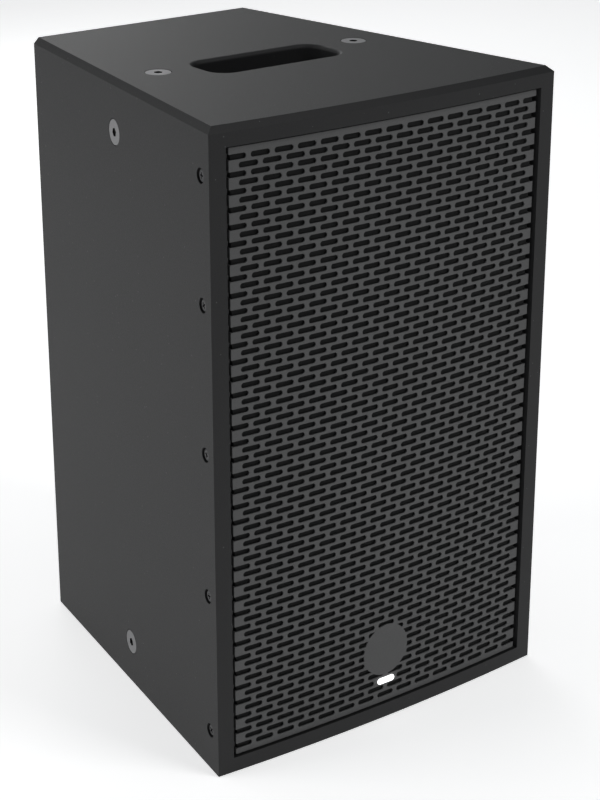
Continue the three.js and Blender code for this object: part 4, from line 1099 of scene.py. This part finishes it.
def amp_plate(screw):
    """The amplifier's plate with its cut-outs, screws and printed marks."""
    at, size, inner, _ = span_of("amp_panel")
    plate = rear_block(size.x, size.z, at.x, at.z, inner, 0, 4 * MM)
    socket, knob = centre_of("input_socket"), centre_of("level_knob")
    inlet = centre_of("mains_inlet")
    holes = ((11.65 * MM, -socket.x, socket.z), (11.65 * MM, socket.x, socket.z),
             (3.3 * MM, knob.x, knob.z), (4.3 * MM, -knob.x, knob.z))
    for radius, x, z in holes:
        boolean(plate, rear_drum(radius, x, z, -CUT_PAST, CUT_PAST))
    for width, height, x in ((28 * MM, 22 * MM, inlet.x), (24 * MM, 18 * MM, -inlet.x)):
        boolean(plate, rear_block(width, height, x, inlet.z, -CUT_PAST, CUT_PAST, 1.5 * MM))
    soften(plate, 0.5 * MM, 2)
    coat(plate, "anodised_aluminium")
    edge_x, edge_z = size.x / 2 - PLATE_SCREW_INSET, size.z / 2 - PLATE_SCREW_INSET
    places = [(sx * edge_x, at.z + sz * edge_z) for sx in (-1, 1) for sz in (-1, -0.34, 0.34, 1)]
    parts = [plate, *rear_screws(screw, places, 0.0, PLATE_SCREW_SCALE)]
    parts += dial_marks(knob.x, knob.z, 12.5 * MM, 11)
    parts += printed_frame(104 * MM, (socket.z + knob.z) / 2 - 1 * MM)
    parts += printed_frame(44 * MM, inlet.z)
    parts.append(mark(6 * MM, PRINT_LINE, -knob.x, knob.z + 8 * MM))
    finish_piece(join(parts), "amp_plate", "anodised_aluminium", "amp_panel", coated=False)


def heat_sink():
    """The finned heat sink: an extruded base with rounded fins."""
    at, size, inner, outer = span_of("amp_heat_sink")
    base = rear_block(size.x, size.z, at.x, at.z, inner, 3 * MM, 1 * MM)
    soften(base, 0.4 * MM)
    fin = rear_block(FIN_WIDTH, size.z, at.x - size.x / 2 + FIN_INSET, at.z, 2.6 * MM, outer)
    bevel(fin, 0.8 * MM, 3, lambda e: along(e, 2) and rear_edge(outer)(e))
    soften(fin, 0.2 * MM, 1)
    repeated(fin, FIN_COUNT, ((size.x - 2 * FIN_INSET) / (FIN_COUNT - 1), 0, 0))
    finish_piece(join([base, fin]), "heat_sink", "anodised_aluminium", "amp_heat_sink")


def socket_body(node, bore_depth):
    """A socket's square flange with its barrel and its round mouth."""
    at, size, inner, _ = span_of(node)
    flange = rear_block(size.x, size.z, at.x, at.z, FITTING_GAP, SOCKET_RISE - 0.4 * MM, 2 * MM)
    soften(flange, 0.4 * MM, 2)
    boolean(flange, rear_drum(SOCKET_BARREL_R, at.x, at.z, inner, SOCKET_RISE, 64), "UNION")
    boolean(flange, rear_drum(SOCKET_BORE_R, at.x, at.z, -bore_depth, CUT_PAST, 64))
    return flange, at, size


def socket_screws(screw, at, size):
    """The screws at two opposite corners of a socket's flange."""
    x, z = size.x / 2 - 3.4 * MM, size.z / 2 - 3.4 * MM
    places = [(at.x - x, at.z + z), (at.x + x, at.z - z)]
    return rear_screws(screw, places, SOCKET_RISE - 0.5 * MM, SOCKET_SCREW_SCALE)


def circle_places(at, radius, start):
    """Three (x, z) places round a socket's middle."""
    turns = [start + index * 2 * math.pi / 3 for index in range(3)]
    return [(at.x + radius * math.cos(t), at.z + radius * math.sin(t)) for t in turns]


def input_socket(screw):
    """The combined microphone and jack input with its metal latch."""
    body, at, size = socket_body("input_socket", 4 * MM)
    boolean(body, rear_drum(JACK_BORE_R, at.x, at.z, -JACK_DEPTH, CUT_PAST))
    for x, z in circle_places(at, 6.6 * MM, math.pi / 2):
        boolean(body, rear_drum(1.25 * MM, x, z, -16 * MM, CUT_PAST, 20))
    latch_at, latch_size, _, _ = span_of("input_latch")
    room = 2 * FITTING_GAP
    slot = cube(
        latch_size.x + room, 12 * MM, latch_size.z + room, (latch_at.x, AMP_FACE + 6.9 * MM, latch_at.z))
    boolean(body, slot)
    soften(body, 0.25 * MM, 2)
    coat(body, "control_plastic")
    collar = rear_drum(3.9 * MM, at.x, at.z, -6 * MM, -3.7 * MM)
    boolean(collar, rear_drum(3.1 * MM, at.x, at.z, -CUT_PAST, 0))
    parts = [body, coat(collar, "latch_steel"), *socket_screws(screw, at, size)]
    finish_piece(join(parts), "input_connector", "control_plastic", "input_socket", coated=False)
    tab = soften(cube(*latch_size, latch_at), 0.7 * MM, 3)
    finish_piece(tab, "input_latch_tab", "latch_steel", "input_latch", body="input_latch")


def output_socket(screw):
    """The three-pin output."""
    body, at, size = socket_body("output_socket", JACK_DEPTH)
    soften(body, 0.25 * MM, 2)
    coat(body, "control_plastic")
    pins = []
    for x, z in circle_places(at, 4.4 * MM, -math.pi / 2):
        pin = rear_drum(1.2 * MM, x, z, -22 * MM, PIN_FRONT, 20)
        pins.append(coat(bevel(pin, 0.7 * MM, 3, rear_edge(PIN_FRONT)), "latch_steel"))
    parts = [body, *pins, *socket_screws(screw, at, size)]
    finish_piece(join(parts), "output_connector", "control_plastic", "output_socket", coated=False)


def level_knob():
    """The fluted level knob with its pale pointer."""
    at, size, inner, top = span_of("level_knob")
    radius = size.x / 2
    foot = 0.6 * MM
    sides = 72
    knob = rear_drum(radius * 0.985, at.x, at.z, foot, top, sides, radius * 0.86)

    def in_flute(vertex):
        angle = math.atan2(vertex.co.z - at.z, vertex.co.x - at.x)
        step = round(angle / (2 * math.pi) * sides)
        return step % 6 in (0, 1)

    pick(knob, "VERT", in_flute)
    bpy.ops.transform.resize(
        value=(0.93, 1, 0.93), center_override=(at.x, AMP_FACE + (foot + top) / 2, at.z))
    leave()
    bevel(knob, 0.8 * MM, 3, rear_edge(top))
    skirt = soften(rear_drum(radius, at.x, at.z, foot, foot + 1.8 * MM, sides), 0.4 * MM)
    shaft = rear_drum(3 * MM, at.x, at.z, inner, foot + 1 * MM, 24)
    parts = [coat(piece, "control_plastic") for piece in (knob, skirt, shaft)]
    pointer = mark(
        1.0 * MM, radius * 0.62, at.x, at.z + radius * 0.45, depth=0.3 * MM, y=AMP_FACE + top - 0.13 * MM)
    knob = join([*parts, pointer])
    finish_piece(knob, "fluted_knob", "control_plastic", "level_knob", body="level_knob", coated=False)


def preset_button():
    """The small recall button with a dished cap."""
    at, size, inner, outer = span_of("preset_button")
    radius = size.x / 2
    button = rear_drum(radius, at.x, at.z, inner, outer, 40)
    pick(button, "FACE", lambda f: f.normal.y > 0.9)
    bpy.ops.mesh.inset(thickness=1.2 * MM)
    bpy.ops.mesh.inset(thickness=0.5 * MM, depth=-BUTTON_DISH)
    leave()
    bevel(button, 0.4 * MM, 3, lambda e: rear_edge(outer)(e) and (
        math.hypot(middle(e).x - at.x, middle(e).z - at.z) > radius * 0.95))
    finish_piece(button, "recall_button", "control_plastic", "preset_button", body="preset_button")


def mains_inlet(screw):
    """The appliance inlet: flange, six-sided mouth and three blades."""
    at, size, inner, rise = span_of("mains_inlet")
    body = rear_block(size.x, size.z, at.x, at.z, FITTING_GAP, rise, 3 * MM)
    boolean(body, rear_block(27 * MM, 21 * MM, at.x, at.z, inner, rise - 0.1 * MM, 2 * MM), "UNION")
    mouth = rear_block(24 * MM, 18 * MM, at.x, at.z, -19 * MM, CUT_PAST)
    bevel(mouth, 4 * MM, 1, lambda e: along(e, 1) and middle(e).z > at.z)
    boolean(body, mouth)
    soften(body, 0.4 * MM, 2)
    coat(body, "control_plastic")
    blades = []
    for place, lift in ((-1, -2 * MM), (0, 2 * MM), (1, -2 * MM)):
        blade = rear_block(2 * MM, 4 * MM, at.x + place * BLADE_PITCH, at.z + lift, -20 * MM, -5 * MM)
        blades.append(coat(soften(blade, 0.4 * MM, 2), "latch_steel"))
    places = [(at.x + side * INLET_SCREW_X, at.z) for side in (-1, 1)]
    parts = [body, *blades, *rear_screws(screw, places, rise - 0.3 * MM, INLET_SCREW_SCALE)]
    finish_piece(join(parts), "power_inlet", "control_plastic", "mains_inlet", coated=False)


def power_rocker():
    """The power switch's rocker, lying over to its off side."""
    at, size, _, _ = span_of("power_rocker")
    x, z = -centre_of("mains_inlet").x, at.z
    rocker = rear_block(2 * ROCKER_HALF, size.z, x, z, -7.9 * MM, 2.1 * MM)
    pick(rocker, "EDGE", lambda e: along(e, 0))
    bpy.ops.mesh.subdivide(number_cuts=8)
    leave()
    for v in rocker.data.vertices:
        if v.co.y > AMP_FACE:
            v.co.y -= ROCKER_VALLEY * (1 - (abs(v.co.x - x) / ROCKER_HALF) ** 1.6)
    soften(rocker, 0.6 * MM, 3, 60)
    coat(rocker, "control_plastic")
    bar = mark(0.6 * MM, 4.2 * MM, x + 6.6 * MM, z, depth=0.4 * MM, y=AMP_FACE + 1.1 * MM)
    rocker = join([rocker, bar])
    rocker.data.transform(turned_at((x, AMP_FACE - ROCKER_PIVOT, z), ROCKER_TILT))
    finish_piece(
        rocker, "power_switch_rocker", "control_plastic", "power_rocker", body="power_rocker", coated=False)


def rocker_frame():
    """The moulded frame that the rocker sits in."""
    inlet = centre_of("mains_inlet")
    ring = rear_block(30 * MM, 24 * MM, -inlet.x, inlet.z, 0.1 * MM, 1.8 * MM, 2.5 * MM)
    boolean(ring, rear_block(23.4 * MM, 16.6 * MM, -inlet.x, inlet.z, -CUT_PAST, CUT_PAST, 1 * MM))
    soften(ring, 0.5 * MM, 3)
    finish_piece(ring, "power_switch_frame", "control_plastic")


class CABINET_OT_amplifier(bpy.types.Operator):
    """Build the amplifier plate, its heat sink, sockets, knob, button, inlet and switch"""

    bl_idname = "cabinet.amplifier"
    bl_label = "Amplifier panel"

    def execute(self, context):
        screw = grille_screw_shape()
        amp_plate(screw)
        heat_sink()
        input_socket(screw)
        output_socket(screw)
        level_knob()
        preset_button()
        mains_inlet(screw)
        power_rocker()
        rocker_frame()
        bpy.data.objects.remove(screw)
        return {"FINISHED"}


# ---- stage
FLOOR_SIZE = 30
FLOOR_Z = -0.4 * MM
AIM = (0, 0, 0.3)
# place, what it faces, size and power of each lamp
LAMPS = {
    "back_left": ((-1.1, 2.0, 1.3), AIM, 1.2, 5.5),
    "back_middle": ((0.7, 2.1, 1.3), AIM, 1.0, 8),
    "back_right": ((1.2, 1.9, 1.4), AIM, 1.4, 1.5),
    "left_wall": ((-1.3, 0.5, 1.5), AIM, 0.8, 7.5),
    "front_high": ((0.4, -1.1, 1.7), AIM, 0.6, 8.5),
    "overhead": ((0.6, -0.2, 3.2), AIM, 3.0, 11),
    "backdrop": ((2.2, 2.8, 2.2), (2.2, 2.8, 0), 2.0, 14),
}


def lamp(name, place, target, size, power):
    deselect()
    bpy.ops.object.light_add(type="AREA", location=place)
    light = bpy.context.object
    light.name = name
    light.data.shape = "SQUARE"
    light.data.size = size
    light.data.energy = power
    light.rotation_euler = (Vector(target) - Vector(place)).to_track_quat("-Z", "Y").to_euler()


def floor_plane(tone):
    """The plain pale floor, a hair below the cabinet's base, giving off some light of its own."""
    deselect()
    bpy.ops.mesh.primitive_plane_add(size=FLOOR_SIZE, location=(0, 0, FLOOR_Z))
    floor = bpy.context.object
    floor.name = "studio_floor"
    floor.data.materials.append(lamp_finish("studio_floor", tone, 0.9, 0.62, 1.5, 0.985))


def soft_sky(scene, tone, strength):
    """An even, faintly blue light from all round."""
    world = scene.world or bpy.data.worlds.new("studio")
    scene.world = world
    world.use_nodes = True
    sky = world.node_tree.nodes["Background"]
    sky.inputs["Color"].default_value = (*tone, 1)
    sky.inputs["Strength"].default_value = strength


class CABINET_OT_stage(bpy.types.Operator):
    """Set the camera, the floor and the lights"""

    bl_idname = "cabinet.stage"
    bl_label = "Stage"

    def execute(self, context):
        sizes = context.scene.stage_settings
        back = Vector((
            math.sin(sizes.azimuth) * math.cos(sizes.elevation),
            -math.cos(sizes.azimuth) * math.cos(sizes.elevation),
            math.sin(sizes.elevation)))
        bpy.ops.object.camera_add(location=sizes.camera_place)
        camera = bpy.context.object
        camera.rotation_euler = (-back).to_track_quat("-Z", "Y").to_euler()
        camera.data.lens = sizes.lens
        camera.data.sensor_width = 36
        camera.data.clip_end = 100
        context.scene.camera = camera
        context.scene.view_settings.view_transform = "Standard"
        floor_plane(tuple(sizes.floor_tone))
        for name, values in LAMPS.items():
            lamp(name, *values)
        soft_sky(context.scene, (0.74, 0.87, 1.0), 0.05)
        return {"FINISHED"}


class CABINET_PT_panel(bpy.types.Panel):
    """Lists the cabinet's pieces"""

    bl_label = "Cabinet"
    bl_idname = "CABINET_PT_panel"
    bl_space_type = "VIEW_3D"
    bl_region_type = "UI"
    bl_category = "Cabinet"

    def draw(self, context):
        for kind in OPERATORS:
            self.layout.operator(kind.bl_idname)


SETTINGS = {
    "cabinet_settings": CabinetSettings,
    "grille_settings": GrilleSettings,
    "stage_settings": StageSettings,
}
OPERATORS = (
    CABINET_OT_stage,
    CABINET_OT_box,
    CABINET_OT_grille,
    CABINET_OT_screws,
    CABINET_OT_pockets,
    CABINET_OT_amplifier,
)


def register():
    for kind in (*SETTINGS.values(), *OPERATORS, CABINET_PT_panel):
        bpy.utils.register_class(kind)
    for name, kind in SETTINGS.items():
        setattr(bpy.types.Scene, name, bpy.props.PointerProperty(type=kind))


def unregister():
    for name in SETTINGS:
        delattr(bpy.types.Scene, name)
    for kind in reversed((*SETTINGS.values(), *OPERATORS, CABINET_PT_panel)):
        bpy.utils.unregister_class(kind)


def main():
    register()
    make_finishes()
    for kind in OPERATORS:
        group, name = kind.bl_idname.split(".")
        getattr(getattr(bpy.ops, group), name)()


if __name__ == "__main__":
    main()
